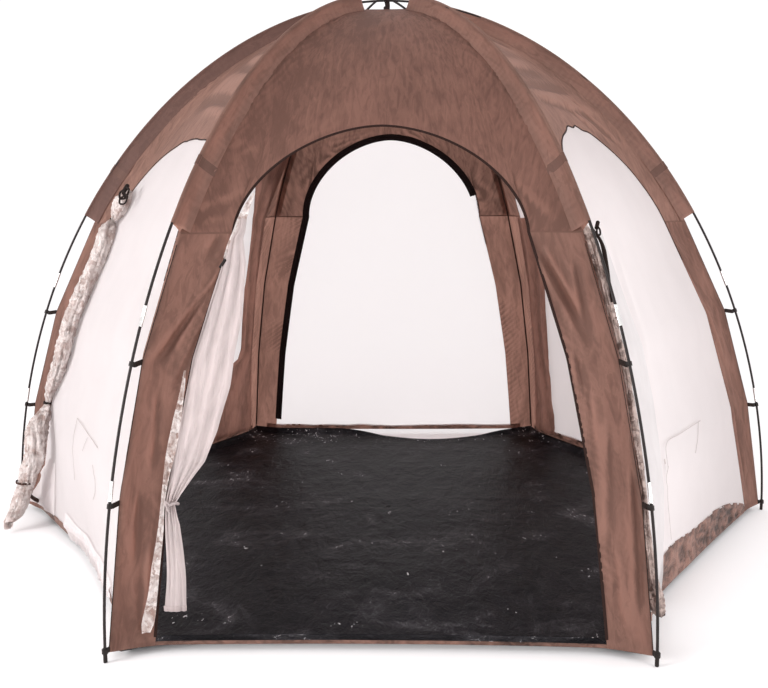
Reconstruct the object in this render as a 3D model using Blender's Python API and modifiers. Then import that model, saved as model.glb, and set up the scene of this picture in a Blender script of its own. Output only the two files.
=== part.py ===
"""A six-sided pool dome tent: three crossed bent poles with a fabric skin, netting windows and a floor.

Metres, +Z up. The origin is on the ground at the centre of the hexagon, and the open door faces -Y.
"""

import math

import bmesh
import bpy
import numpy as np
from mathutils import Matrix, Vector

# Driving sizes of the frame
FOOT_RADIUS = 1.95  # from the centre to each pole's foot
DOME_HEIGHT = 2.57  # to the axis of the lowest pole at the crown
PROFILE_POWER = 1.924  # the poles bend to a superellipse, a little fuller than an ellipse
POLE_THICK = 0.011
FERRULE_THICK = 0.0145
FERRULE_LENGTH = 0.072
FERRULE_TOPS = (1.25, 0.65)
TIP_THICK = 0.015
TIP_HEIGHT = 0.055

# Driving sizes of the skin
FABRIC = 0.004
CLEAR = 0.0003  # between pieces that touch
SEAM_CLEAR = 0.0005  # half the gap between panels that are sewn at an angle
FIN_WIDTH = 0.058  # from a pole's axis to the ridge seam under it
SEAM_HEIGHT = 1.50  # the roof panels are sewn to the corner legs here
CLIP_HEIGHTS = (1.05, 0.562, 0.042)
HEM_BOTTOM = 0.03
HEM_TOP = 0.062
RIDGE_KINKS = ((HEM_BOTTOM, 1.93), (0.57, 1.845), (1.05, 1.705))  # height and radius of the ridge seam
STRIP_AT_FOOT = 0.150  # the legs' width on each side of the ridge
STRIP_AT_SEAM = 0.190
FOLD_DEPTH = 0.05  # how far a side lies inside the straight line between its ridges
FOLD_WIDTH = 0.20
HEM_SAG = 0.03  # how much further the hem bows inwards half way between the feet
HEM_SAG_HEIGHT = 0.5
ARCH_POWER = 1.8
ARCH_TOPS = {
    "front": 1.905,
    "right_front": 1.93,
    "right_back": 1.93,
    "back": 1.985,
    "left_back": 1.93,
    "left_front": 1.88,
}
CROWN_HOLE = 0.18  # from the centre to the corners of the hole in the roof
SLEEVE_TOP = 0.235  # the sleeves end this far from the centre
SLEEVE_SKIN = 0.0015

# Where things are, by azimuth in degrees from +X
CORNERS = {
    "front_right": -60,
    "right": 0,
    "back_right": 60,
    "back_left": 120,
    "left": 180,
    "front_left": 240,
}
SIDES = {
    "front": -90,
    "right_front": -30,
    "right_back": 30,
    "back": 90,
    "left_back": 150,
    "left_front": 210,
}
HOOPS = {
    "hoop_right_left": (0, 0.0),
    "hoop_back_right_front_left": (60, 0.0125),
    "hoop_back_left_front_right": (120, 0.0250),
}  # azimuth, and how far each is lifted over the one below where they cross
LIFT_REACH = 0.30

BROWN = (0.235, 0.130, 0.095)
DARK_BROWN = (0.060, 0.030, 0.022)
NETTING = (0.86, 0.80, 0.80)
FILM = (0.66, 0.58, 0.55)
GROUNDSHEET = (0.022, 0.020, 0.022)
FIBREGLASS = (0.030, 0.027, 0.027)
BLACK = (0.015, 0.012, 0.012)

COS30 = math.cos(math.radians(30))
PITCH = math.radians(60)


def clear_scene():
    for obj in list(bpy.data.objects):
        bpy.data.objects.remove(obj, do_unlink=True)


def collection(name):
    made = bpy.data.collections.new(name)
    bpy.context.scene.collection.children.link(made)
    return made


def material(name, colour, roughness, metallic=0.0):
    made = bpy.data.materials.new(name)
    made.use_nodes = True
    shader = made.node_tree.nodes["Principled BSDF"]
    shader.inputs["Base Color"].default_value = (*colour, 1.0)
    shader.inputs["Roughness"].default_value = roughness
    shader.inputs["Metallic"].default_value = metallic
    return made


def pole_point(angle):
    """Radius and height of a pole's axis, from 0 at its foot to a quarter turn at the crown."""
    power = 2 / PROFILE_POWER
    return np.array([FOOT_RADIUS * math.cos(angle) ** power, DOME_HEIGHT * math.sin(angle) ** power])


def pole_normal(angle):
    step = 1e-4
    run = pole_point(min(angle + step, math.pi / 2)) - pole_point(max(angle - step, 0.0))
    return np.array([run[1], -run[0]]) / np.hypot(*run)


def ridge_point(angle):
    """Radius and height of the roof's ridge seam, a sleeve's width inside the pole."""
    return pole_point(angle) - FIN_WIDTH * pole_normal(angle)


PROFILE_ANGLES = np.linspace(math.radians(20), math.radians(89.99), 500)
RIDGE_TABLE = np.array([ridge_point(angle) for angle in PROFILE_ANGLES])
POLE_TABLE = np.array([pole_point(angle) for angle in PROFILE_ANGLES])


def ridge_angle(height):
    return float(np.interp(height, RIDGE_TABLE[:, 1], PROFILE_ANGLES))


def pole_angle(height):
    angles = np.linspace(0.0, math.pi / 2, 900)
    return float(np.interp(height, [pole_point(angle)[1] for angle in angles], angles))


RIDGE_AT_SEAM = float(np.interp(SEAM_HEIGHT, RIDGE_TABLE[:, 1], RIDGE_TABLE[:, 0]))


def ridge_radius(height):
    """The ridge seam is straight from the sleeve's end to each clip, and curved above."""
    if height >= SEAM_HEIGHT:
        return float(np.interp(height, RIDGE_TABLE[:, 1], RIDGE_TABLE[:, 0]))
    heights, radii = zip(*RIDGE_KINKS, (SEAM_HEIGHT, RIDGE_AT_SEAM))
    return float(np.interp(height, heights, radii))


def half_side(height):
    return ridge_radius(height) / 2


def strip_width(height):
    """How far a corner leg reaches along each side from its ridge."""
    rise = max(height, 0.0) / SEAM_HEIGHT
    return STRIP_AT_FOOT + (STRIP_AT_SEAM - STRIP_AT_FOOT) * rise**1.5


def opening_half(height):
    return half_side(height) - strip_width(height)


def inset(along, height):
    """How far the skin lies inside the straight chord between two ridges."""
    half = half_side(height)
    from_ridge = min(max((half - abs(along)) / FOLD_WIDTH, 0.0), 1.0)
    fold = FOLD_DEPTH * min(1.0, half / 0.7) * math.sin(math.pi / 2 * from_ridge)
    sag = HEM_SAG * max(0.0, 1 - height / HEM_SAG_HEIGHT) * (1 - (along / half) ** 2)
    return fold + sag


def wall(along, height):
    """A point of the skin's inner face on the side whose outward normal is +X."""
    return Vector((ridge_radius(height) * COS30 - inset(along, height), along, height))


def new_object(name, mesh, finish, group, azimuth=0.0):
    made = bpy.data.objects.new(name, mesh)
    made.rotation_euler.z = math.radians(azimuth)
    mesh.materials.clear()
    mesh.materials.append(finish)
    group.objects.link(made)
    return made


def solidify(obj, thickness, offset=1.0):
    shell = obj.modifiers.new("thickness", "SOLIDIFY")
    shell.thickness = thickness
    shell.offset = offset


def mapped_grid(name, columns, rows, place, outward):
    """A grid of faces with each corner (u, v), both 0 to 1, moved to place(u, v)."""
    sheet = bmesh.new()
    bmesh.ops.create_grid(sheet, x_segments=columns, y_segments=rows, size=0.5)
    for corner in sheet.verts:
        corner.co = place(corner.co.x + 0.5, corner.co.y + 0.5)
    return finished_sheet(name, sheet, outward)


def finished_sheet(name, sheet, outward):
    """Turns the faces so that they point along outward(face centre), and returns the mesh."""
    sheet.normal_update()
    facing = sum(face.normal.dot(outward(face.calc_center_median())) for face in sheet.faces)
    if facing < 0:
        bmesh.ops.reverse_faces(sheet, faces=sheet.faces[:])
    mesh = bpy.data.meshes.new(name)
    sheet.to_mesh(mesh)
    sheet.free()
    mesh.shade_smooth()
    mesh.set_sharp_from_angle(angle=math.radians(30))
    return mesh


def away_from_axis(point):
    return Vector((point.x, point.y, point.z * 0.5))


def tube(name, points, thick, finish, group, azimuth=0.0, sizes=None, resolution=2):
    """A round tube with flat ends through the points; sizes scale its thickness point by point."""
    curve = bpy.data.curves.new(name, "CURVE")
    curve.dimensions = "3D"
    curve.bevel_depth = thick / 2
    curve.bevel_resolution = resolution
    curve.use_fill_caps = True
    curve.twist_mode = "Z_UP"
    spline = curve.splines.new("POLY")
    spline.points.add(len(points) - 1)
    for index, point in enumerate(points):
        spline.points[index].co = (*point, 1.0)
        spline.points[index].radius = sizes[index] if sizes else 1.0
    curve.materials.append(finish)
    made = bpy.data.objects.new(name, curve)
    made.rotation_euler.z = math.radians(azimuth)
    group.objects.link(made)
    return made


# Poles: three hoops, each with a leg piece at both ends


def lift_at(radius, lift):
    """Where hoops cross at the crown, each rides over the one below."""
    if abs(radius) >= LIFT_REACH:
        return 0.0
    return lift * (1 - (radius / LIFT_REACH) ** 2) ** 2


SLEEVE_STEPS = 13
SLEEVE_START = 0.012  # the sleeves begin this far above the seam
JOIN_ANGLE = pole_angle(FERRULE_TOPS[0])
SLEEVE_LOW_ANGLE = ridge_angle(SEAM_HEIGHT + SLEEVE_START)
SLEEVE_HIGH_ANGLE = float(np.interp(-SLEEVE_TOP, -POLE_TABLE[:, 0], PROFILE_ANGLES))
SHOULDER = 0.002  # length over which a pole changes thickness at a ferrule or tip
LOW_BENDS = (0.16, 0.28, 0.40, 0.50, CLIP_HEIGHTS[1])  # heights where the bent leg gets a ring of corners
HIGH_BENDS = (FERRULE_TOPS[1] + SHOULDER, 0.76, 0.88, 0.97, CLIP_HEIGHTS[0], 1.12)


def hoop_angles():
    """Stations along half a hoop, the sleeve's own stations among them."""
    bare = list(np.linspace(JOIN_ANGLE, SLEEVE_LOW_ANGLE, 5))[:-1]
    covered = list(np.linspace(SLEEVE_LOW_ANGLE, SLEEVE_HIGH_ANGLE, SLEEVE_STEPS + 1))
    crown = list(np.linspace(SLEEVE_HIGH_ANGLE, math.pi / 2, 6))[1:]
    return bare + covered + crown


def hoop(name, azimuth, lift, finish, group):
    half = []
    for angle in hoop_angles():
        radius, height = pole_point(angle)
        half.append(Vector((radius, 0.0, height + lift_at(radius, lift))))
    half[-1].x = 0.0
    half[0].z += CLEAR
    other = [Vector((-point.x, 0.0, point.z)) for point in reversed(half[:-1])]
    return tube(name, half + other, POLE_THICK, finish, group, azimuth)


def pole_leg(name, azimuth, finish, group):
    """From the upper ferrule to the flat foot, with a second ferrule and a plastic tip."""
    stations = [(0.0, TIP_THICK), (TIP_HEIGHT, TIP_THICK), (TIP_HEIGHT + SHOULDER, POLE_THICK)]
    for top, bends in zip(reversed(FERRULE_TOPS), (LOW_BENDS, HIGH_BENDS)):
        low = top - FERRULE_LENGTH
        stations += [(height, POLE_THICK) for height in bends]
        stations += [(low - SHOULDER, POLE_THICK), (low, FERRULE_THICK), (top, FERRULE_THICK)]
    points = []
    for height, _ in stations:
        radius = FOOT_RADIUS if height <= TIP_HEIGHT else pole_point(pole_angle(height))[0]
        points.append((radius, 0.0, height))
    sizes = [thick / POLE_THICK for _, thick in stations]
    return tube(name, points, POLE_THICK, finish, group, azimuth, sizes)


# Sleeves: one strip of fabric folded round each pole and sewn into the ridge

SLEEVE_BORE = POLE_THICK / 2 + 2 * CLEAR
SLEEVE_LIP = 0.0009  # half the gap between the sleeve's two lips at the ridge
FOLD_POINTS = 6
FOLD_TURN = 110  # degrees that the fabric wraps round the pole to each side


def sleeve_section(place):
    """Across the sleeve, from one lip at the ridge round the pole to the other: (out, sideways)."""
    root = -FIN_WIDTH + FABRIC + 2 * CLEAR
    if place in (0, FOLD_POINTS + 1):
        return root, SLEEVE_LIP if place else -SLEEVE_LIP
    turn = math.radians(FOLD_TURN * (2 * (place - 1) / (FOLD_POINTS - 1) - 1))
    return SLEEVE_BORE * math.cos(turn), SLEEVE_BORE * math.sin(turn)


def sleeve(name, azimuth, lift, finish, group):
    def place(u, v):
        angle = SLEEVE_LOW_ANGLE + (SLEEVE_HIGH_ANGLE - SLEEVE_LOW_ANGLE) * v
        out, sideways = sleeve_section(round(u * (FOLD_POINTS + 1)))
        radius, height = pole_point(angle) + out * pole_normal(angle)
        raised = lift_at(pole_point(angle)[0], lift) * (1 + out / FIN_WIDTH)
        return Vector((radius, sideways, height + raised))

    mesh = mapped_grid(name, FOLD_POINTS + 1, SLEEVE_STEPS, place, lambda p: Vector((0, p.y, 0)))
    made = new_object(name, mesh, finish, group, azimuth)
    solidify(made, SLEEVE_SKIN)
    return made


# Roof panels: from the seam at the legs and the arch up to the hole in the crown

ARCH_STEPS = 10
ROOF_ROWS = 6


def arch_point(turn, top, margin=0.0):
    """On the arch over a side's opening; turn runs from -1 at its left foot to 1."""
    wide = opening_half(SEAM_HEIGHT) + margin
    rise = top - SEAM_HEIGHT + margin
    angle = turn * math.pi / 2
    along = wide * abs(math.sin(angle)) ** (2 / ARCH_POWER)
    height = SEAM_HEIGHT + rise * max(math.cos(angle), 0.0) ** (2 / ARCH_POWER)
    return math.copysign(along, turn), height


def roof_panel(name, azimuth, top, finish, group):
    columns = ARCH_STEPS + 4
    crown_angle = float(np.interp(-CROWN_HOLE, -RIDGE_TABLE[:, 0], PROFILE_ANGLES))

    def low_edge(column):
        """(along, height) of the lower edge at a column."""
        if column < 2 or column > columns - 2:
            share = column / 2 if column < 2 else (columns - column) / 2
            along = half_side(SEAM_HEIGHT) - SEAM_CLEAR - share * strip_width(SEAM_HEIGHT)
            return math.copysign(along, column - columns / 2), SEAM_HEIGHT + SEAM_CLEAR
        turn = 2 * (column - 2) / ARCH_STEPS - 1
        along, height = arch_point(turn, top)
        return along, height + SEAM_CLEAR

    def place(u, v):
        column = round(u * columns)
        along, height = low_edge(column)
        low_angle = ridge_angle(height)
        low_share = along / (half_side(height) - SEAM_CLEAR)
        share = low_share + ((2 * u - 1) - low_share) * v
        angle = low_angle + (crown_angle - low_angle) * v
        level = height if v == 0 else ridge_point(angle)[1]
        return wall(share * (half_side(level) - SEAM_CLEAR), level)

    mesh = mapped_grid(name, columns, ROOF_ROWS, place, away_from_axis)
    made = new_object(name, mesh, finish, group, azimuth)
    solidify(made, FABRIC)
    return made


# Corner legs: one bent strip of fabric down each ridge

LEG_LEVELS = (1.5, 1.28, 1.05, 0.81, 0.57, 0.31, HEM_TOP)


def corner_leg(name, azimuth, finish, group):
    turn = Matrix.Rotation(math.radians(30), 3, "Z")

    def place(u, v):
        level = LEG_LEVELS[round(v * (len(LEG_LEVELS) - 1))]
        shift = -SEAM_CLEAR if level == LEG_LEVELS[0] else 0.0
        across = 2 * u - 1
        from_ridge = abs(across) * (strip_width(level) - CLEAR)
        point = turn @ wall(-half_side(level) + from_ridge, level)
        point.z += shift + (CLEAR if level == HEM_TOP else 0.0)
        point.y = math.copysign(point.y, across) if across else 0.0
        return point

    mesh = mapped_grid(name, 6, len(LEG_LEVELS) - 1, place, away_from_axis)
    made = new_object(name, mesh, finish, group, azimuth)
    solidify(made, FABRIC)
    return made


# Netting: fills the arched openings


def window_net(name, azimuth, top, finish, group):
    bottom = HEM_TOP + 2 * CLEAR
    margin = -2 * CLEAR

    def place(u, v):
        along, crest = arch_point(2 * u - 1, top, margin)
        level = LEG_LEVELS[round((1 - v) * (len(LEG_LEVELS) - 1))]
        share = (level - HEM_TOP) / (SEAM_HEIGHT - HEM_TOP)
        height = bottom + share * (crest - bottom)
        reach = opening_half(min(height, SEAM_HEIGHT)) + margin
        return wall(along * reach / (opening_half(SEAM_HEIGHT) + margin), height)

    mesh = mapped_grid(name, ARCH_STEPS, len(LEG_LEVELS) - 1, place, away_from_axis)
    made = new_object(name, mesh, finish, group, azimuth)
    solidify(made, FABRIC)
    return made


# Hem and floor: closed rings of the same outline

SIDE_STEPS = 8


def outline_point(step, height, shrink=0.0):
    """On the skin's inner face, counted round the hexagon from the right-hand foot."""
    side, part = divmod(step, SIDE_STEPS)
    along = (2 * part / SIDE_STEPS - 1) * half_side(height)
    turn = Matrix.Rotation(math.radians(30) + side * PITCH, 3, "Z")
    point = turn @ wall(along, height)
    return Vector((point.x * (1 - shrink), point.y * (1 - shrink), height))


def ring_step(corner):
    """Which of the ring's steps a cylinder's corner stands at."""
    steps = 6 * SIDE_STEPS
    return round(math.atan2(corner.y, corner.x) / (2 * math.pi) * steps) % steps


def base_hem(name, finish, group):
    ring = bmesh.new()
    bmesh.ops.create_cone(
        ring,
        cap_ends=False,
        segments=6 * SIDE_STEPS,
        radius1=1,
        radius2=1,
        depth=1,
        matrix=Matrix.Rotation(math.radians(-90), 4, "Z"),
    )
    for corner in ring.verts:
        height = HEM_TOP - CLEAR if corner.co.z > 0 else HEM_BOTTOM
        corner.co = outline_point(ring_step(corner.co), height)
    made = new_object(name, finished_sheet(name, ring, away_from_axis), finish, group)
    solidify(made, FABRIC)
    return made


RIM_HEIGHT = 0.046
SLACK_RIM_HEIGHT = 0.010
RIM_SHRINK = 0.0004  # share of its size by which the floor is smaller than the hem
BACK_SLACK = 0.17  # the floor's back edge has drawn this far in from the wall
BACK_SLACK_FROM = 1.4  # only past this distance to the back
BACK_SLACK_CENTRE = 0.30
BACK_SLACK_HALF = 0.48
SLACK_DROP = 2.5  # the rim is down where the edge has drawn in by 1 / SLACK_DROP of BACK_SLACK


def floor_sheet(name, finish, group):
    """A tray: flat on the ground, its edge turned up inside the hem but lying loose at the back."""
    tray = bmesh.new()
    bmesh.ops.create_cone(
        tray,
        cap_ends=True,
        segments=6 * SIDE_STEPS,
        radius1=1,
        radius2=1,
        depth=1,
        matrix=Matrix.Rotation(math.radians(-90), 4, "Z"),
    )
    lids = [face for face in tray.faces if len(face.verts) > 4 and face.calc_center_median().z > 0]
    bmesh.ops.delete(tray, geom=lids, context="FACES_ONLY")
    for corner in tray.verts:
        upper = corner.co.z > 0
        point = outline_point(ring_step(corner.co), RIM_HEIGHT if upper else HEM_BOTTOM, RIM_SHRINK)
        slack = 0.0
        if point.y > BACK_SLACK_FROM:
            reach = abs(point.x - BACK_SLACK_CENTRE) / BACK_SLACK_HALF
            slack = 0.5 + 0.5 * math.cos(math.pi * min(reach, 1.0))
        point.y -= BACK_SLACK * slack
        rim = RIM_HEIGHT + (SLACK_RIM_HEIGHT - RIM_HEIGHT) * min(1.0, SLACK_DROP * slack)
        point.z = rim if upper else 0.0
        corner.co = point
    above = Vector((0, 0, 0.5))
    made = new_object(name, finished_sheet(name, tray, lambda p: p - above), finish, group)
    solidify(made, FABRIC, offset=-1.0)
    return made


# Clip tapes: a tape down each leg's ridge with three loops round the pole

TAPE_THICK = 0.003
TAPE_DEEP = 0.007
TAPE_TOP = 1.46
LOOP_TALL = 0.020
LOOP_WALL = 0.0025
LOOP_ROOM = 0.0007  # between a loop and the pole in it
TAB_EXTRA = 0.0004  # the loops' tabs are thicker than the tape by this on each side
TAB_SINK = 0.002  # how deep a tab starts inside the tape


def box_mesh(name, low, high):
    block = bmesh.new()
    size = Vector(high) - Vector(low)
    middle = (Vector(high) + Vector(low)) / 2
    bmesh.ops.create_cube(block, size=1, matrix=Matrix.LocRotScale(middle, None, size))
    mesh = bpy.data.meshes.new(name)
    block.to_mesh(mesh)
    block.free()
    return mesh


def drum_mesh(name, radius, tall, matrix):
    drum = bmesh.new()
    bmesh.ops.create_cone(
        drum, cap_ends=True, segments=10, radius1=radius, radius2=radius, depth=tall, matrix=matrix
    )
    mesh = bpy.data.meshes.new(name)
    drum.to_mesh(mesh)
    drum.free()
    return mesh


def helper(name, mesh, group):
    made = bpy.data.objects.new(name, mesh)
    made.hide_render = True
    made.display_type = "WIRE"
    group.objects.link(made)
    return made


def ridge_outside(height):
    """Just outside the leg's outer face at the ridge."""
    return ridge_radius(height) + FABRIC + 3 * CLEAR


def tape_mesh(finish, group, cutters):
    """The tape with its loops, modelled at azimuth 0 and shared by all six corners."""
    levels = (TAPE_TOP, *(height for height, _ in reversed(RIDGE_KINKS)))

    def place(u, v):
        level = levels[round(v * (len(levels) - 1))]
        return Vector((ridge_outside(level) + u * TAPE_DEEP, -TAPE_THICK / 2, level))

    mesh = mapped_grid("clip_tape", 1, len(levels) - 1, place, lambda p: Vector((0, 1, 0)))
    made = new_object("clip_tape_right", mesh, finish, group)
    solidify(made, TAPE_THICK)
    for height in CLIP_HEIGHTS:
        bore = (TIP_THICK if height < TIP_HEIGHT else POLE_THICK) / 2 + LOOP_ROOM
        inner_end = ridge_outside(height) + TAB_SINK
        radius = FOOT_RADIUS if height < TIP_HEIGHT else pole_point(pole_angle(height))[0]
        lean = pole_normal(pole_angle(height)) if height > TIP_HEIGHT else np.array([1.0, 0.0])
        turned = Matrix.Rotation(-math.atan2(lean[1], lean[0]), 4, "Y")
        around = Matrix.Translation((radius, 0, height)) @ turned
        half_thick = TAPE_THICK / 2 + TAB_EXTRA
        tab = box_mesh(
            "tab",
            (inner_end, -half_thick, height - LOOP_TALL / 2),
            (radius - bore - SEAM_CLEAR, half_thick, height + LOOP_TALL / 2),
        )
        ring = drum_mesh("ring", bore + LOOP_WALL, LOOP_TALL, around)
        hole = drum_mesh("hole", bore, 3 * LOOP_TALL, around)
        for shape, operation in ((tab, "UNION"), (ring, "UNION"), (hole, "DIFFERENCE")):
            cut = made.modifiers.new(shape.name, "BOOLEAN")
            cut.operation = operation
            cut.object = helper(f"{shape.name}_{height}", shape, cutters)
            cut.solver = "EXACT"
    return made


def clip_tapes(finish, group, cutters):
    first = tape_mesh(finish, group, cutters)
    graph = bpy.context.evaluated_depsgraph_get()
    mesh = bpy.data.meshes.new_from_object(first.evaluated_get(graph))
    bpy.data.objects.remove(first)
    for cutter in list(cutters.objects):
        bpy.data.objects.remove(cutter)
    for corner, azimuth in CORNERS.items():
        new_object(f"clip_tape_{corner}", mesh, finish, group, azimuth)


# Loose soft pieces: the gathered door curtain and two rolls of clear film

CURTAIN_LEVELS = (1.52, 1.39, 1.19, 0.95, 0.69, 0.545, 0.34, 0.17)
CURTAIN_WIDTHS = (0.016, 0.070, 0.120, 0.125, 0.095, 0.035, 0.085, 0.110)
CURTAIN_THICK = 0.03
CURTAIN_TOP_SHIFT = 0.012  # its top end, past the seam, follows the arch inwards


def door_curtain(name, azimuth, finish, group):
    """Gathered to the left edge of the doorway and tied below half height."""
    rows = len(CURTAIN_LEVELS) - 1

    def place(u, v):
        row = round(v * rows)
        level = CURTAIN_LEVELS[row]
        edge = opening_half(min(level, SEAM_HEIGHT)) - 4 * CLEAR
        if level > SEAM_HEIGHT:
            edge -= CURTAIN_TOP_SHIFT
        return wall(-edge + u * CURTAIN_WIDTHS[row], level)

    mesh = mapped_grid(name, 2, rows, place, away_from_axis)
    made = new_object(name, mesh, finish, group, azimuth)
    solidify(made, CURTAIN_THICK, offset=0.0)
    return made


def on_wall(azimuth, along, height, proud):
    """A world point that stands proud of a side's outer face."""
    here = wall(along, height)
    slope = wall(along, height + 0.01) - wall(along, height - 0.01)
    sideways = wall(along + 0.01, height) - wall(along - 0.01, height)
    normal = sideways.cross(slope).normalized()
    if normal.x < 0:
        normal.negate()
    return Matrix.Rotation(math.radians(azimuth), 3, "Z") @ (here + normal * (FABRIC + proud))


FILM_THICK = 0.07
VALLEY_ROOM = 1.25  # a roll lies in the hollow of a side, and is sewn to it at its thin top end
LEFT_SEAT = -0.0002  # from the panel's curve to the middle of each roll's top end
RIGHT_SEAT = 0.0027
# Along the side, height, and thickness as a share of FILM_THICK, with a point at each kink of the ridge
LEFT_ROLL = (
    (-0.527, 1.612, 0.05),
    (-0.545, 1.575, 0.50),
    (-0.58, 1.50, 0.45),
    (-0.61, 1.38, 0.80),
    (-0.65, 1.22, 0.90),
    (-0.69, 1.05, 0.85),
    (-0.75, 0.81, 0.75),
    (-0.80, 0.57, 0.40),
    (-0.83, 0.46, 0.95),
    (-0.84, 0.34, 1.10),
    (-0.84, 0.22, 0.80),
    (-0.84, 0.12, 0.85),
)
RIGHT_ROLL = (
    (-0.652, 1.51, 0.05),
    (-0.656, 1.47, 0.22),
    (-0.67, 1.36, 0.60),
    (-0.70, 1.20, 0.60),
    (-0.73, 1.05, 0.50),
    (-0.78, 0.81, 0.45),
    (-0.82, 0.57, 0.35),
    (-0.84, 0.35, 0.50),
    (-0.85, 0.20, 0.55),
    (-0.85, 0.12, 0.35),
)


def film_roll(name, azimuth, route, seat, finish, group):
    points = []
    for along, height, share in route:
        proud = seat if not points else share * FILM_THICK / 2 * VALLEY_ROOM + CLEAR
        points.append(on_wall(azimuth, along, height, proud))
    sizes = [share for _, _, share in route]
    return tube(name, points, FILM_THICK, finish, group, 0.0, sizes, 3)


# Crown tie: a webbing tie hanging at the crossing of the poles

TIE_HALF = (0.017, 0.010)
TIE_LOW = 0.058
TIE_ROUNDING = 0.003


def crown_tie(name, finish, group):
    top = DOME_HEIGHT - POLE_THICK / 2 - CLEAR
    mesh = box_mesh(name, (-TIE_HALF[0], -TIE_HALF[1], top - TIE_LOW), (*TIE_HALF, top))
    made = new_object(name, mesh, finish, group)
    edge = made.modifiers.new("rounded", "BEVEL")
    edge.width = TIE_ROUNDING
    edge.segments = 1


def build():
    clear_scene()
    tent = collection("pool_dome")
    cutters = collection("cutters")
    brown = material("brown polyester", BROWN, 0.6)
    trim = material("dark webbing", DARK_BROWN, 0.7)
    netting = material("white netting", NETTING, 0.8)
    film = material("clear film", FILM, 0.3)
    sheet = material("groundsheet", GROUNDSHEET, 0.35)
    rod = material("fibreglass", FIBREGLASS, 0.4)
    black = material("black webbing", BLACK, 0.7)

    lifts = {}
    for name, (azimuth, lift) in HOOPS.items():
        hoop(name, azimuth, lift, rod, tent)
        lifts[azimuth] = lift
    for corner, azimuth in CORNERS.items():
        lift = lifts[azimuth % 180]
        pole_leg(f"pole_leg_{corner}", azimuth, rod, tent)
        sleeve(f"sleeve_{corner}", azimuth, lift, brown, tent)
        corner_leg(f"corner_leg_{corner}", azimuth, brown, tent)
    clip_tapes(trim, tent, cutters)
    for side, azimuth in SIDES.items():
        roof_panel(f"roof_panel_{side}", azimuth, ARCH_TOPS[side], brown, tent)
        if side != "front":
            window_net(f"window_net_{side}", azimuth, ARCH_TOPS[side], netting, tent)
    base_hem("base_hem", brown, tent)
    floor_sheet("floor_sheet", sheet, tent)
    door_curtain("door_curtain", SIDES["front"], netting, tent)
    film_roll("film_roll_left", SIDES["left_front"], LEFT_ROLL, LEFT_SEAT, film, tent)
    film_roll("film_roll_right", SIDES["right_front"], RIGHT_ROLL, RIGHT_SEAT, film, tent)
    crown_tie("crown_tie", black, tent)


build()
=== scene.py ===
"""The looks of a six-sided pool dome: fabric, netting, clear film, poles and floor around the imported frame.

Metres, +Z up. The origin is on the ground at the centre of the hexagon, and the open door faces -Y.
"""

import math

import bpy
import numpy as np
from mathutils import Matrix, Vector


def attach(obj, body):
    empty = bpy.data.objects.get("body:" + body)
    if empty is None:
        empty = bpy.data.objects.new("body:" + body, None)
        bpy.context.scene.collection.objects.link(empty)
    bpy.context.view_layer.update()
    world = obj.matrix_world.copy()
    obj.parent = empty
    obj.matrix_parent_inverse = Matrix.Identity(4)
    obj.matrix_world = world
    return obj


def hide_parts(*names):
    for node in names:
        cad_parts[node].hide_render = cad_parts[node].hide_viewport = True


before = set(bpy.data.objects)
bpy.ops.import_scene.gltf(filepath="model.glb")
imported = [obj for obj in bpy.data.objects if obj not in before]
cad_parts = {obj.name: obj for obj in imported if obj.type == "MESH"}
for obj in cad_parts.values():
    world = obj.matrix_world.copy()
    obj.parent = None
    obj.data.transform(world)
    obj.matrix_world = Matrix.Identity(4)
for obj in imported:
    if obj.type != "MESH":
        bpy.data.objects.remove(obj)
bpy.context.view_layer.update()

# The frame's driving sizes, the same as in the CAD source
FOOT_RADIUS = 1.95
DOME_HEIGHT = 2.57
PROFILE_POWER = 1.924
POLE_THICK = 0.011
FERRULE_THICK = 0.0145
FERRULE_LENGTH = 0.072
FERRULE_TOPS = (1.25, 0.65)
TIP_THICK = 0.015
TIP_HEIGHT = 0.055
FIN_WIDTH = 0.058
SEAM_HEIGHT = 1.50
CLIP_HEIGHTS = (1.05, 0.562, 0.042)
HEM_BOTTOM = 0.03
HEM_TOP = 0.062
SILL_TOP = 0.0445
RIDGE_KINKS = ((HEM_BOTTOM, 1.93), (0.57, 1.845), (1.05, 1.705))
STRIP_AT_FOOT = 0.150
STRIP_AT_SEAM = 0.190
FOLD_DEPTH = 0.05
FOLD_WIDTH = 0.20
HEM_SAG = 0.03
HEM_SAG_HEIGHT = 0.5
ARCH_POWER = 1.8
ARCH_TOPS = {
    "front": 1.905,
    "right_front": 1.93,
    "right_back": 1.93,
    "back": 1.985,
    "left_back": 1.93,
    "left_front": 1.88,
}
# One arch has a squarer right shoulder, and two are drawn into waves by their zips
SHOULDERS = {"left_front": 3.0}
ARCH_WAVES = {"right_front": 0.0055, "left_front": 0.0025}
CROWN_HOLE = 0.18
SLEEVE_TOP = 0.235
SLEEVE_START = 0.012
LIFT_REACH = 0.30
CORNERS = {
    "front_right": -60,
    "right": 0,
    "back_right": 60,
    "back_left": 120,
    "left": 180,
    "front_left": 240,
}
SIDES = {
    "front": -90,
    "right_front": -30,
    "right_back": 30,
    "back": 90,
    "left_back": 150,
    "left_front": 210,
}
HOOPS = {
    "hoop_right_left": (0, 0.0),
    "hoop_back_right_front_left": (60, 0.0125),
    "hoop_back_left_front_right": (120, 0.0250),
}

# How far in the cloth hangs near the ground: place along the side, and inward move at the foot
SLACK_HEIGHT = 0.5
SIDE_SLACK = {
    -30: (
        (-0.965, 0.0),
        (-0.684, 0.025),
        (-0.477, 0.058),
        (-0.348, 0.050),
        (-0.209, 0.039),
        (-0.060, 0.025),
        (0.110, 0.014),
        (0.326, 0.0),
        (0.615, -0.018),
        (0.774, -0.028),
        (0.965, 0.0),
    ),
    210: ((-0.965, 0.0), (-0.873, -0.012), (-0.352, 0.026), (-0.168, 0.052), (0.0, 0.066), (0.4, 0.05), (0.965, 0.0)),
}

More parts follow.
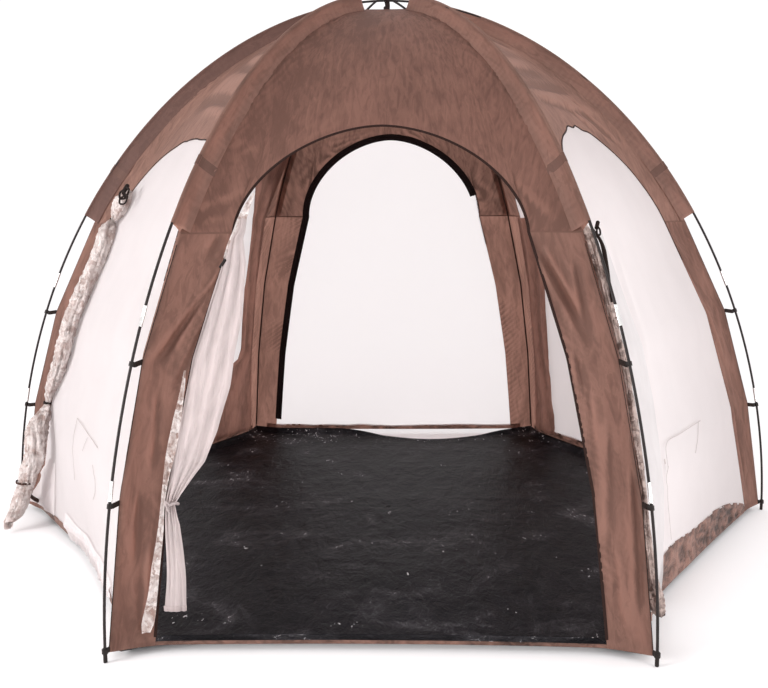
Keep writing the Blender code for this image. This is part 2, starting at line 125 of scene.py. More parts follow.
# How the cloth lies in the 4 mm shells of the frame
CLOTH_OUT = 0.0028
NET_OUT = 0.0012
CLOTH_THICK = 0.0008

COS30 = math.cos(math.radians(30))


# The poles' curve and the skin that hangs inside it, as functions of arrays


def pole_point(angle):
    power = 2 / PROFILE_POWER
    cosine = np.clip(np.cos(angle), 0, 1)
    return FOOT_RADIUS * cosine**power, DOME_HEIGHT * np.sin(angle) ** power


def pole_lean(angle):
    """The pole's outward normal, as (radial, upward)."""
    step = 1e-4
    radius_on, height_on = pole_point(np.minimum(angle + step, math.pi / 2))
    radius_back, height_back = pole_point(np.maximum(angle - step, 0))
    run, rise = radius_on - radius_back, height_on - height_back
    length = np.hypot(run, rise)
    return rise / length, -run / length


PROFILE_ANGLES = np.linspace(math.radians(20), math.radians(89.99), 500)
POLE_RADII, POLE_HEIGHTS = pole_point(PROFILE_ANGLES)
LEAN_OUT, LEAN_UP = pole_lean(PROFILE_ANGLES)
RIDGE_RADII = POLE_RADII - FIN_WIDTH * LEAN_OUT
RIDGE_HEIGHTS = POLE_HEIGHTS - FIN_WIDTH * LEAN_UP
RIDGE_AT_SEAM = float(np.interp(SEAM_HEIGHT, RIDGE_HEIGHTS, RIDGE_RADII))
RIDGE_RUN = np.concatenate([[0], np.cumsum(np.hypot(np.diff(RIDGE_RADII), np.diff(RIDGE_HEIGHTS)))])


def ridge_angle(height):
    return np.interp(height, RIDGE_HEIGHTS, PROFILE_ANGLES)


def pole_angle(height):
    angles = np.linspace(0, math.pi / 2, 900)
    return np.interp(height, pole_point(angles)[1], angles)


def ridge_radius(height):
    heights, radii = zip(*RIDGE_KINKS, (SEAM_HEIGHT, RIDGE_AT_SEAM))
    low = np.interp(height, heights, radii)
    return np.where(height >= SEAM_HEIGHT, np.interp(height, RIDGE_HEIGHTS, RIDGE_RADII), low)


def up_the_cloth(height):
    """Length along the ridge from the seam over the legs up to a height; negative below it."""
    above = np.interp(height, RIDGE_HEIGHTS, RIDGE_RUN) - np.interp(SEAM_HEIGHT, RIDGE_HEIGHTS, RIDGE_RUN)
    return np.where(height >= SEAM_HEIGHT, above, (height - SEAM_HEIGHT) * 1.05)


def half_side(height):
    return ridge_radius(height) / 2


def strip_width(height):
    rise = np.clip(height, 0, None) / SEAM_HEIGHT
    return STRIP_AT_FOOT + (STRIP_AT_SEAM - STRIP_AT_FOOT) * rise**1.5


def opening_half(height):
    height = np.minimum(height, SEAM_HEIGHT)
    return half_side(height) - strip_width(height)


def inset(along, height):
    half = half_side(height)
    from_ridge = np.clip((half - np.abs(along)) / FOLD_WIDTH, 0, 1)
    fold = FOLD_DEPTH * np.minimum(1, half / 0.7) * np.sin(math.pi / 2 * from_ridge)
    sag = HEM_SAG * np.clip(1 - height / HEM_SAG_HEIGHT, 0, None) * (1 - (along / half) ** 2)
    return fold + sag


def wall(along, height):
    """The skin's inner face on the side whose outward normal is +X."""
    along, height = np.broadcast_arrays(along, height)
    return np.stack([ridge_radius(height) * COS30 - inset(along, height), along, height], axis=-1)


def unit(vectors):
    return vectors / np.maximum(np.linalg.norm(vectors, axis=-1, keepdims=True), 1e-12)


def turned(points, azimuth):
    turn = math.radians(azimuth)
    spin = np.array([[math.cos(turn), -math.sin(turn), 0], [math.sin(turn), math.cos(turn), 0], [0, 0, 1]])
    return points @ spin.T


def skin_normal(along, height):
    step = 1e-3
    half = half_side(height)
    left = wall(np.clip(along - step, -half, half), height)
    right = wall(np.clip(along + step, -half, half), height)
    return unit(np.cross(right - left, wall(along, height + step) - wall(along, height - step)))


def slack(along, height, azimuth):
    """How much further in than the frame the cloth of a side hangs near the ground."""
    places, inward = zip(*SIDE_SLACK.get(azimuth, ((0, 0), (1, 0))))
    return np.interp(along, places, inward) * np.clip(1 - height / SLACK_HEIGHT, 0, 1)


def skin(along, height, out, azimuth):
    """World points that stand out from a side's inner face, mitred where two sides meet."""
    along, height, out = np.broadcast_arrays(along, height, out)
    normal = skin_normal(along, height)
    lean_out, lean_up = pole_lean(ridge_angle(height))
    ridge = np.stack([lean_out * COS30, np.sign(along) * lean_out * 0.5, lean_up], axis=-1)
    mitre = ridge / np.clip((ridge * normal).sum(axis=-1, keepdims=True), 0.5, 1)
    share = eased(1 - (half_side(height) - np.abs(along)) / 0.02)[..., None]
    outward = normal * (1 - share) + mitre * share
    out = out - slack(along, height, azimuth)
    return turned(wall(along, height) + outward * out[..., None], azimuth)


def arch_point(turn, side, margin=0.0):
    """On the arch over a side's opening; turn runs from -1 at its left foot to 1."""
    angle = turn * math.pi / 2
    power = 2 / np.where(turn > 0, SHOULDERS.get(side, ARCH_POWER), ARCH_POWER)
    along = (opening_half(SEAM_HEIGHT) + margin) * np.abs(np.sin(angle)) ** power
    rise = (ARCH_TOPS[side] - SEAM_HEIGHT + margin) * np.clip(np.cos(angle), 0, None) ** power
    drawn = ARCH_WAVES.get(side, 0.0) * np.sin(angle * 17 + 2 * np.sin(angle * 5)) * np.cos(angle) ** 2
    return np.copysign(along, turn), SEAM_HEIGHT + rise + drawn


def opening_path(side, low, margin, steps=60):
    """Up the left edge of an opening, over its arch and down the right edge: (along, height)."""
    heights = np.linspace(low, SEAM_HEIGHT, steps)
    edge = opening_half(heights) + margin
    along, height = arch_point(np.linspace(-1, 1, 2 * steps), side, margin)
    return (
        np.concatenate([-edge[:-1], along, edge[-2::-1]]),
        np.concatenate([heights[:-1], height, heights[-2::-1]]),
    )


def lift_at(radius, lift):
    share = np.clip(1 - (radius / LIFT_REACH) ** 2, 0, 1)
    return lift * share**2


# Random but repeatable wrinkles


def hashed(column, row, seed):
    value = np.sin(column * 127.1 + row * 311.7 + seed * 74.7) * 43758.5453
    return value - np.floor(value)


def noise(x, y, seed):
    """Smooth heights from -1 to 1 with about one bump per unit."""
    column, row = np.floor(x), np.floor(y)
    u, v = x - column, y - row
    u, v = u * u * (3 - 2 * u), v * v * (3 - 2 * v)
    low = hashed(column, row, seed) * (1 - u) + hashed(column + 1, row, seed) * u
    high = hashed(column, row + 1, seed) * (1 - u) + hashed(column + 1, row + 1, seed) * u
    return 2 * (low * (1 - v) + high * v) - 1


def rough(x, y, seed, layers=3):
    """Noise with finer noise on it."""
    total = 0
    for layer in range(layers):
        total = total + noise(x * 2**layer, y * 2**layer, seed + layer) / 2**layer
    return total / 1.75


def creased(x, y, seed, layers=3):
    """Sharp crests between smooth hollows, as in crumpled sheet, from 0 to 1."""
    total = 0
    for layer in range(layers):
        total = total + (1 - np.abs(noise(x * 2**layer, y * 2**layer, seed + layer))) ** 2 / 2**layer
    return total / 1.75


def eased(value):
    value = np.clip(value, 0, 1)
    return value * value * (3 - 2 * value)


def pucker(distance, run, reach, wave, deep, seed, slant=0.0):
    """Short wrinkles square to a seam: run is the length along it, distance the way from it."""
    phase = (run + slant * distance) / wave
    ripple = np.sin(2 * math.pi * (phase + 0.8 * noise(phase * 0.35, distance * 6, seed)))
    strength = eased(0.5 + 0.9 * noise(run / (wave * 5), distance * 3, seed + 9))
    return deep * ripple * strength * np.exp(-distance / reach) * eased(distance / 0.006)


def fold(along, height, start, end, wide, deep):
    """One long soft fold between two points of a side."""
    run = np.array(end) - np.array(start)
    length = np.hypot(*run)
    share = ((along - start[0]) * run[0] + (height - start[1]) * run[1]) / length**2
    aside = ((along - start[0]) * run[1] - (height - start[1]) * run[0]) / length
    spread = wide * (0.6 + 0.8 * np.clip(share, 0, 1))
    fade = eased(share / 0.25) * eased((1 - share) / 0.3)
    return deep * fade * (np.exp(-((aside / spread) ** 2)) - 0.6 * np.exp(-((aside / spread - 1.3) ** 2)))


# Meshes


def grid_shape(points, cloth, closed=False):
    """Faces over a grid of points, with each point's place on the cloth in metres."""
    rows, columns = points.shape[:2]
    index = np.arange(rows * columns).reshape(rows, columns)
    if closed:
        index = np.concatenate([index, index[:, :1]], axis=1)
    quads = np.stack([index[:-1, :-1], index[:-1, 1:], index[1:, 1:], index[1:, :-1]], axis=-1)
    return points.reshape(-1, 3), quads.reshape(-1, 4).tolist(), cloth.reshape(-1, 2)


def cloth_places(points):
    """Length along the rows and the columns of a grid, as its place on the flat cloth."""
    across = np.linalg.norm(np.diff(points, axis=1), axis=2)
    up = np.linalg.norm(np.diff(points, axis=0), axis=2)
    zero_column = np.zeros((points.shape[0], 1))
    zero_row = np.zeros((1, points.shape[1]))
    u = np.concatenate([zero_column, np.cumsum(across, axis=1)], axis=1)
    v = np.concatenate([zero_row, np.cumsum(up, axis=0)], axis=0)
    u = u - u[:, u.shape[1] // 2 : u.shape[1] // 2 + 1]
    return np.stack([u, v], axis=-1)


def sweep_shape(centres, across, out, profile, scales=None, closed=True):
    """A profile of (across, out) points carried along a line; closed ones get end caps."""
    scales = np.ones(len(centres)) if scales is None else np.asarray(scales, dtype=float)
    profile = np.asarray(profile, dtype=float)
    offsets = across[:, None, :] * profile[None, :, :1] + out[:, None, :] * profile[None, :, 1:]
    points = centres[:, None, :] + offsets * scales[:, None, None]
    run = np.concatenate([[0], np.cumsum(np.linalg.norm(np.diff(centres, axis=0), axis=1))])
    girth = np.concatenate([[0], np.cumsum(np.linalg.norm(np.diff(profile, axis=0), axis=1))])
    cloth = np.stack(np.meshgrid(girth, run), axis=-1)
    points, faces, cloth = grid_shape(points, cloth, closed)
    if closed:
        count = len(profile)
        faces.append(list(range(count)))
        faces.append(list(range(len(points) - 1, len(points) - count - 1, -1)))
    return points, faces, cloth


def line_frames(points, out):
    """Unit vectors across a line that lies on a surface, and out of the surface."""
    along = unit(np.gradient(points, axis=0))
    across = unit(np.cross(along, out))
    return across, unit(np.cross(across, along))


def ribbon_shape(points, out, half_width, thick, scales=None):
    """A flat strip with soft edges, lying on a surface."""
    across, out = line_frames(points, out)
    edge = min(thick / 2, half_width / 3)
    profile = [
        (-half_width, 0),
        (-half_width, thick - edge),
        (-half_width + edge, thick),
        (half_width - edge, thick),
        (half_width, thick - edge),
        (half_width, 0),
    ]
    return sweep_shape(points, across, out, profile, scales)


def round_profile(radius, sides=12):
    turns = np.arange(sides) * 2 * math.pi / sides
    return np.stack([np.cos(turns), np.sin(turns)], axis=-1) * radius


def any_frames(points):
    """Frames for a free line, turned as little as it can be."""
    along = unit(np.gradient(points, axis=0))
    side = np.cross(along[0], (0.3, 0.5, 0.8))
    sides = []
    for step in along:
        side = side - step * side.dot(step)
        side = side / np.linalg.norm(side)
        sides.append(side.copy())
    sides = np.array(sides)
    return sides, unit(np.cross(along, sides))


def rod_shape(points, radius, scales=None, sides=12):
    points = np.asarray(points, dtype=float)
    across, out = any_frames(points)
    return sweep_shape(points, across, out, round_profile(radius, sides), scales)


def smooth_line(points, steps):
    """A smooth curve through points, by spline pieces."""
    points = np.asarray(points, dtype=float)
    padded = np.concatenate([[2 * points[0] - points[1]], points, [2 * points[-1] - points[-2]]])
    made = []
    for index in range(1, len(padded) - 2):
        before, start, end, after = padded[index - 1 : index + 3]
        share = np.linspace(0, 1, steps, endpoint=False)[:, None]
        made.append(
            0.5
            * (
                2 * start
                + (end - before) * share
                + (2 * before - 5 * start + 4 * end - after) * share**2
                + (3 * start - before - 3 * end + after) * share**3
            )
        )
    return np.concatenate([*made, points[-1:]])


def block_shape(centre, size, bevel=0.0012, turn=None):
    """A box with rounded vertical edges; turn is a 3 x 3 matrix."""
    half = np.array(size) / 2
    ring = []
    for corner in range(4):
        sign = (1 if corner in (0, 3) else -1, 1 if corner in (0, 1) else -1)
        for step in range(3):
            angle = math.pi / 2 * (corner + step / 2)
            ring.append(
                (
                    sign[0] * (half[0] - bevel) + bevel * math.cos(angle),
                    sign[1] * (half[1] - bevel) + bevel * math.sin(angle),
                )
            )
    ring = np.array(ring)
    levels = [(-half[2], 1 - bevel / half[0]), (-half[2] + bevel, 1), (half[2] - bevel, 1)]
    levels.append((half[2], 1 - bevel / half[0]))
    points = np.array([[(x * share, y * share, level) for x, y in ring] for level, share in levels])
    if turn is not None:
        points = points @ np.asarray(turn).T
    points = points + np.asarray(centre)
    shape = grid_shape(points, points[..., :2], closed=True)
    count = len(ring)
    shape[1].append(list(range(count))[::-1])
    shape[1].append(list(range(len(shape[0]) - count, len(shape[0]))))
    return shape


def build_mesh(name, shapes):
    points, faces, cloth = [], [], []
    start = 0
    for shape_points, shape_faces, shape_cloth in shapes:
        points.append(shape_points)
        faces += [[start + corner for corner in face] for face in shape_faces]
        cloth.append(shape_cloth)
        start += len(shape_points)
    mesh = bpy.data.meshes.new(name)
    mesh.from_pydata(np.concatenate(points).tolist(), [], faces)
    places = np.concatenate(cloth)
    corners = np.empty(len(mesh.loops), dtype=np.int32)
    mesh.loops.foreach_get("vertex_index", corners)
    layer = mesh.uv_layers.new(name="cloth")
    layer.uv.foreach_set("vector", places[corners].astype(np.float32).ravel())
    mesh.shade_smooth()
    return mesh


def piece(name, shapes, finish, replaces=(), thick=0.0, sharp=None, relief=None):
    """A named piece that rides on the tent; thick cloth gets its second face inwards.

    relief says for each point how far it is on a crest (1) or in a hollow (-1) of the wrinkles; the materials paint
    shade from it, crests lighter and hollows darker.
    """
    mesh = build_mesh(name, shapes)
    if relief is not None:
        layer = mesh.attributes.new("relief", "FLOAT", "POINT")
        layer.data.foreach_set("value", np.clip(relief, -1.5, 1.5).astype(np.float32).ravel())
    if sharp is not None:
        mesh.set_sharp_from_angle(angle=math.radians(sharp))
    made = bpy.data.objects.new(name, mesh)
    bpy.context.scene.collection.objects.link(made)
    mesh.materials.append(finish)
    if thick:
        shell = made.modifiers.new("thickness", "SOLIDIFY")
        shell.thickness = thick
        shell.offset = -1
    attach(made, "root")
    if replaces:
        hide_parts(*replaces)
    return made


# Materials


def node(tree, kind, inputs=None, **settings):
    """Adds a node. Its inputs are values or other nodes' outputs, by socket name or number."""
    made = tree.nodes.new(kind)
    for key, value in settings.items():
        setattr(made, key, value)
    for key, value in (inputs or {}).items():
        if isinstance(value, bpy.types.NodeSocket):
            tree.links.new(value, made.inputs[key])
        else:
            made.inputs[key].default_value = value
    return made


def new_material(name):
    made = bpy.data.materials.new(name)
    made.use_nodes = True
    made.node_tree.nodes.clear()
    return made, made.node_tree


def colour_ramp(tree, factor, stops):
    ramp = node(tree, "ShaderNodeValToRGB", {"Fac": factor})
    elements = ramp.color_ramp.elements
    for index, (place, colour) in enumerate(stops):
        stop = elements[index] if index < 2 else elements.new(place)
        stop.position = place
        stop.color = (*colour, 1.0)
    return ramp.outputs["Color"]


def woven(tree, pitch):
    """Over and under threads with a pitch in metres, from the cloth's own places."""
    places = node(tree, "ShaderNodeUVMap", uv_map="cloth").outputs["UV"]
    scale = 0.314 / pitch
    waves = []
    for direction in ("X", "Y"):
        wave = node(
            tree,
            "ShaderNodeTexWave",
            {"Vector": places, "Scale": scale, "Distortion": 0.4, "Detail": 1.0},
            bands_direction=direction,
        )
        waves.append(wave.outputs["Fac"])
    return node(tree, "ShaderNodeMath", {0: waves[0], 1: waves[1]}, operation="MULTIPLY").outputs[0]


def object_noise(tree, scale, detail=3.0, roughness=0.5, stretch=(1, 1, 1)):
    where = node(tree, "ShaderNodeTexCoord").outputs["Object"]
    spread = node(tree, "ShaderNodeMapping", {"Vector": where, "Scale": stretch}).outputs[0]
    inputs = {"Vector": spread, "Scale": scale, "Detail": detail, "Roughness": roughness}
    return node(tree, "ShaderNodeTexNoise", inputs).outputs["Fac"]


def finish_cloth(tree, colour, bump, roughness, through, through_colour, specular=0.2):
    """Cloth that also lets some light through from behind."""
    solid = node(
        tree,
        "ShaderNodeBsdfPrincipled",
        {"Base Color": colour, "Roughness": roughness, "Normal": bump},
    )
    solid.inputs["Specular IOR Level"].default_value = specular
    behind = node(tree, "ShaderNodeBsdfTranslucent", {"Color": through_colour, "Normal": bump})
    mixed = node(
        tree, "ShaderNodeMixShader", {0: through, 1: solid.outputs[0], 2: behind.outputs[0]}
    )
    node(tree, "ShaderNodeOutputMaterial", {"Surface": mixed.outputs[0]})


def wrinkle_shade_and_patches(tree, drawn, share=0.55):
    """Painted wrinkle shade over random patches of tone: streaks, with crests painted lighter and hollows painted
    darker.
    """
    patches = object_noise(tree, 2.2, 4.0, 0.6)
    half = node(tree, "ShaderNodeMath", {0: patches, 1: 1 - share}, operation="MULTIPLY")
    tone = node(tree, "ShaderNodeMath", {0: drawn, 1: share, 2: half.outputs[0]}, operation="MULTIPLY_ADD")
    relief = node(tree, "ShaderNodeAttribute", attribute_name="relief").outputs["Fac"]
    return node(tree, "ShaderNodeMath", {0: relief, 1: 0.11, 2: tone.outputs[0]}, operation="MULTIPLY_ADD").outputs[0]


def scaled(colour, share):
    return tuple(share * c for c in colour)


# The colour of daylight that comes through the brown cloth
GLOW = (0.50, 0.265, 0.205)


def brown_cloth(
    name,
    base,
    through=0.40,
    contrast=0.26,
    roughness=0.60,
    wrinkles=0.0022,
    draw=(30.0, 8.0),
    lit_low_base=None,
    span=0.13,
):
    """Thin woven cloth, drawn into faint wrinkles whose shade is painted into its colour; lit_low_base is its colour
    near the seam over the legs, painted lighter there as light falling on the lower cloth.
    """
    low, high = 0.5 - span, 0.5 + span
    made, tree = new_material(name)
    places = node(tree, "ShaderNodeUVMap", uv_map="cloth").outputs["UV"]
    stretched = node(tree, "ShaderNodeMapping", {"Vector": places, "Scale": (*draw, 1.0)})
    drawn = node(
        tree,
        "ShaderNodeTexNoise",
        {"Vector": stretched.outputs[0], "Scale": 1.0, "Detail": 4.0, "Roughness": 0.6, "Distortion": 0.9},
    ).outputs["Fac"]
    # Painted shade: the wrinkles' streaks, crests and hollows darken and lighten the colour and the glow around their
    # base.
    tone = wrinkle_shade_and_patches(tree, drawn)
    plain = colour_ramp(tree, tone, [(low, scaled(base, 1 - contrast)), (high, scaled(base, 1 + contrast))])
    glow = colour_ramp(tree, tone, [(low, scaled(GLOW, 1 - contrast)), (high, scaled(GLOW, 1 + contrast))])
    # Painted light: near the seam the colour blends from the lighter lit_low_base up to base.
    if lit_low_base is not None:
        lower = colour_ramp(
            tree, tone, [(low, scaled(lit_low_base, 1 - contrast)), (high, scaled(lit_low_base, 1 + contrast))]
        )
        where = node(tree, "ShaderNodeTexCoord").outputs["Object"]
        height = node(tree, "ShaderNodeSeparateXYZ", {"Vector": where}).outputs["Z"]
        rise = node(
            tree, "ShaderNodeMapRange", {"Value": height, "From Min": SEAM_HEIGHT, "From Max": SEAM_HEIGHT + 0.36}
        )
        plain = node(
            tree, "ShaderNodeMix", {0: rise.outputs[0], 6: lower, 7: plain}, data_type="RGBA"
        ).outputs[2]
    # Painted highlight: paler lines along the crests of the drawn wrinkles, in patches.
    off = node(tree, "ShaderNodeMath", {0: drawn, 1: 0.5}, operation="SUBTRACT")
    away = node(tree, "ShaderNodeMath", {0: off.outputs[0]}, operation="ABSOLUTE")
    crest = node(
        tree, "ShaderNodeMapRange", {"Value": away.outputs[0], "From Max": 0.026, "To Min": 1.0, "To Max": 0.0}
    )
    where = object_noise(tree, 4.0, 2.0, 0.5)
    some = node(tree, "ShaderNodeMapRange", {"Value": where, "From Min": 0.46, "From Max": 0.60, "To Max": 0.5})
    mask = node(tree, "ShaderNodeMath", {0: crest.outputs[0], 1: some.outputs[0]}, operation="MULTIPLY")
    crest_highlight = node(
        tree, "ShaderNodeMix", {0: mask.outputs[0], 6: plain, 7: (*scaled(base, 1.6), 1.0)}, data_type="RGBA"
    )
    threads = woven(tree, 0.0012)
    fine = node(tree, "ShaderNodeBump", {"Strength": 0.35, "Distance": 0.00012, "Height": threads})
    lines = node(
        tree,
        "ShaderNodeBump",
        {"Strength": 1.0, "Distance": wrinkles, "Height": drawn, "Normal": fine.outputs[0]},
    )
    soft = object_noise(tree, 24.0, 4.0, 0.6)
    bump = node(
        tree,
        "ShaderNodeBump",
        {"Strength": 0.5, "Distance": 0.0045, "Height": soft, "Normal": lines.outputs[0]},
    )
    finish_cloth(tree, crest_highlight.outputs[2], bump.outputs[0], roughness, through, glow)
    return made


def white_net(name, base, through, contrast=0.05, streaks=(5.0, 3.0)):
    """Fine pale mesh, with faint streaks painted as the shade where it is drawn or creased, and crests painted lighter
    and hollows darker.
    """
    made, tree = new_material(name)
    threads = woven(tree, 0.0016)
    places = node(tree, "ShaderNodeUVMap", uv_map="cloth").outputs["UV"]
    stretched = node(tree, "ShaderNodeMapping", {"Vector": places, "Scale": (*streaks, 1.0)})
    drawn = node(
        tree,
        "ShaderNodeTexNoise",
        {"Vector": stretched.outputs[0], "Scale": 1.0, "Detail": 4.0, "Roughness": 0.6, "Distortion": 0.7},
    ).outputs["Fac"]
    shaded = node(
        tree, "ShaderNodeMath", {0: threads, 1: 0.06, 2: wrinkle_shade_and_patches(tree, drawn)}, operation="MULTIPLY_ADD"
    )
    colour = colour_ramp(
        tree, shaded.outputs[0], [(0.36, scaled(base, 1 - contrast)), (0.68, scaled(base, 1 + contrast))]
    )
    fine = node(tree, "ShaderNodeBump", {"Strength": 0.4, "Distance": 0.0002, "Height": threads})
    soft = object_noise(tree, 9.0, 3.0, 0.5)
    bump = node(
        tree,
        "ShaderNodeBump",
        {"Strength": 0.25, "Distance": 0.004, "Height": soft, "Normal": fine.outputs[0]},
    )
    finish_cloth(tree, colour, bump.outputs[0], 0.75, through, (1.0, 0.965, 0.965, 1.0))
    return made


def crumpled_film(name, colour, dim, through):
    """Clear film in many layers: pale, shiny and full of small sharp facets, which are painted lighter and darker as
    the light they catch.
    """
    made, tree = new_material(name)
    where = node(tree, "ShaderNodeTexCoord").outputs["Object"]
    warped = node(tree, "ShaderNodeTexNoise", {"Vector": where, "Scale": 12.0, "Detail": 4.0})
    bent = node(
        tree,
        "ShaderNodeMix",
        {0: 0.14, 4: where, 5: warped.outputs["Color"]},
        data_type="VECTOR",
    )
    facets = node(tree, "ShaderNodeTexVoronoi", {"Vector": bent.outputs[1], "Scale": 52.0})
    edges = node(
        tree,
        "ShaderNodeTexVoronoi",
        {"Vector": bent.outputs[1], "Scale": 52.0},
        feature="DISTANCE_TO_EDGE",
    )
    shade = node(tree, "ShaderNodeSeparateColor", {"Color": facets.outputs["Color"]}).outputs[0]
    broad = object_noise(tree, 26.0, 6.0, 0.7)
    heights = node(
        tree, "ShaderNodeMath", {0: edges.outputs["Distance"], 1: 0.9, 2: broad}, operation="MULTIPLY_ADD"
    )
    bump = node(
        tree, "ShaderNodeBump", {"Strength": 1.0, "Distance": 0.013, "Height": heights.outputs[0]}
    )
    # Painted light and shade: each facet and broad patch is tinted between dim and colour.
    blend = node(tree, "ShaderNodeMath", {0: shade, 1: 0.42, 2: broad}, operation="MULTIPLY_ADD")
    facet_light = colour_ramp(tree, blend.outputs[0], [(0.46, dim), (0.80, colour)])
    solid = node(
        tree,
        "ShaderNodeBsdfPrincipled",
        {"Base Color": facet_light, "Roughness": 0.18, "Normal": bump.outputs[0]},
    )
    solid.inputs["Specular IOR Level"].default_value = 0.9
    behind = node(tree, "ShaderNodeBsdfTranslucent", {"Color": (1.0, 0.93, 0.91, 1.0)})
    mixed = node(
        tree, "ShaderNodeMixShader", {0: through, 1: solid.outputs[0], 2: behind.outputs[0]}
    )
    node(tree, "ShaderNodeOutputMaterial", {"Surface": mixed.outputs[0]})
    return made


def crinkled_sheet(name):
    """Black woven polyethylene: shiny, with painted reflections: pale lines on its fine creases, lighter patches, pale
    curls and a few glints, more of them near the back edge.
    """
    made, tree = new_material(name)
    where = node(tree, "ShaderNodeTexCoord").outputs["Object"]
    long = node(tree, "ShaderNodeMapping", {"Vector": where, "Scale": (1.0, 0.50, 1.0)}).outputs[0]
    warped = node(tree, "ShaderNodeTexNoise", {"Vector": long, "Scale": 5.0, "Detail": 4.0, "Roughness": 0.6})
    bent = node(
        tree,
        "ShaderNodeMix",
        {0: 0.16, 4: long, 5: warped.outputs["Color"]},
        data_type="VECTOR",
    ).outputs[1]
    cells = []
    for scale, wide in ((8.0, 0.040), (25.0, 0.075)):
        cell = node(tree, "ShaderNodeTexVoronoi", {"Vector": bent, "Scale": scale}, feature="DISTANCE_TO_EDGE")
        line = node(
            tree,
            "ShaderNodeMapRange",
            {"Value": cell.outputs["Distance"], "From Max": wide, "To Min": 1.0, "To Max": 0.0},
        )
        cells.append((cell.outputs["Distance"], line.outputs[0]))
    fine = node(tree, "ShaderNodeTexNoise", {"Vector": bent, "Scale": 42.0, "Detail": 5.0, "Roughness": 0.7})
    speckle = node(
        tree, "ShaderNodeMapRange", {"Value": fine.outputs["Fac"], "From Min": 0.50, "From Max": 0.66}
    )
    broad = node(
        tree,
        "ShaderNodeTexNoise",
        {
            "Vector": node(tree, "ShaderNodeMapping", {"Vector": where, "Scale": (1.5, 1.9, 1.0)}).outputs[0],
            "Scale": 1.0,
            "Detail": 6.0,
            "Roughness": 0.68,
            "Distortion": 1.6,
        },
    ).outputs["Fac"]
    # Painted reflections: highlight_patches marks the patches where the pale crease lines and curls show, and soft adds
    # lighter patches.
    highlight_patches = node(tree, "ShaderNodeMapRange", {"Value": broad, "From Min": 0.47, "From Max": 0.62})
    soft = node(
        tree, "ShaderNodeMapRange", {"Value": broad, "From Min": 0.40, "From Max": 0.66, "To Max": 0.55}
    )
    curl = node(
        tree,
        "ShaderNodeTexNoise",
        {"Vector": bent, "Scale": 13.0, "Detail": 5.0, "Roughness": 0.62, "Distortion": 1.1},
    ).outputs["Fac"]
    # Painted highlights: thin pale curls.
    off = node(tree, "ShaderNodeMath", {0: curl, 1: 0.5}, operation="SUBTRACT")
    away = node(tree, "ShaderNodeMath", {0: off.outputs[0]}, operation="ABSOLUTE")
    curled = node(
        tree, "ShaderNodeMapRange", {"Value": away.outputs[0], "From Max": 0.030, "To Min": 1.0, "To Max": 0.0}
    )
    # Painted glints: sparse pale spots, many more of them near the back edge.
    spots = node(tree, "ShaderNodeTexNoise", {"Vector": long, "Scale": 64.0, "Detail": 2.0}).outputs["Fac"]
    spot = node(tree, "ShaderNodeMapRange", {"Value": spots, "From Min": 0.665, "From Max": 0.700})
    lit = object_noise(tree, 4.2, 2.0, 0.5)
    here = node(tree, "ShaderNodeMapRange", {"Value": lit, "From Min": 0.61, "From Max": 0.66})
    far = node(tree, "ShaderNodeSeparateXYZ", {"Vector": where}).outputs["Y"]
    back_glint_zone = node(tree, "ShaderNodeMapRange", {"Value": far, "From Min": 1.18, "From Max": 1.34, "To Max": 0.9})
    some = node(tree, "ShaderNodeMath", {0: here.outputs[0], 1: back_glint_zone.outputs[0]}, operation="MAXIMUM")
    glint = node(tree, "ShaderNodeMath", {0: spot.outputs[0], 1: some.outputs[0]}, operation="MULTIPLY")
    # Painted highlights along the fine creases.
    crest_highlight = node(tree, "ShaderNodeMath", {0: cells[1][1], 1: speckle.outputs[0]}, operation="MULTIPLY")
    patchy = node(tree, "ShaderNodeMath", {0: crest_highlight.outputs[0], 1: highlight_patches.outputs[0]}, operation="MULTIPLY")
    total = node(
        tree, "ShaderNodeMath", {0: patchy.outputs[0], 1: 0.55, 2: soft.outputs[0]}, operation="MULTIPLY_ADD"
    )
    total = node(
        tree, "ShaderNodeMath", {0: cells[0][1], 1: 0.14, 2: total.outputs[0]}, operation="MULTIPLY_ADD"
    )
    total = node(
        tree, "ShaderNodeMath", {0: speckle.outputs[0], 1: 0.10, 2: total.outputs[0]}, operation="MULTIPLY_ADD"
    )
    curls = node(tree, "ShaderNodeMath", {0: curled.outputs[0], 1: highlight_patches.outputs[0]}, operation="MULTIPLY")
    total = node(tree, "ShaderNodeMath", {0: curls.outputs[0], 1: 0.26, 2: total.outputs[0]}, operation="MULTIPLY_ADD")
    total = node(tree, "ShaderNodeMath", {0: glint.outputs[0], 1: 0.9, 2: total.outputs[0]}, operation="MULTIPLY_ADD")
    colour = colour_ramp(
        tree,
        total.outputs[0],
        [
            (0.0, (0.0040, 0.0036, 0.0050)),
            (0.30, (0.0090, 0.0082, 0.0104)),
            (0.62, (0.0380, 0.0355, 0.0400)),
            (0.84, (0.1000, 0.0960, 0.1030)),
            (1.0, (0.6500, 0.6400, 0.6600)),
        ],
    )
    heights = node(tree, "ShaderNodeMath", {0: cells[1][0], 1: 0.5, 2: fine.outputs["Fac"]}, operation="MULTIPLY_ADD")
    heights = node(tree, "ShaderNodeMath", {0: cells[0][0], 1: 1.2, 2: heights.outputs[0]}, operation="MULTIPLY_ADD")
    bump = node(
        tree, "ShaderNodeBump", {"Strength": 0.6, "Distance": 0.010, "Height": heights.outputs[0]}
    )
    shine = node(tree, "ShaderNodeMapRange", {"Value": broad, "To Min": 0.34, "To Max": 0.52})
    solid = node(
        tree,
        "ShaderNodeBsdfPrincipled",
        {"Base Color": colour, "Roughness": shine.outputs[0], "Normal": bump.outputs[0]},
    )
    solid.inputs["Specular IOR Level"].default_value = 0.055
    node(tree, "ShaderNodeOutputMaterial", {"Surface": solid.outputs[0]})
    return made


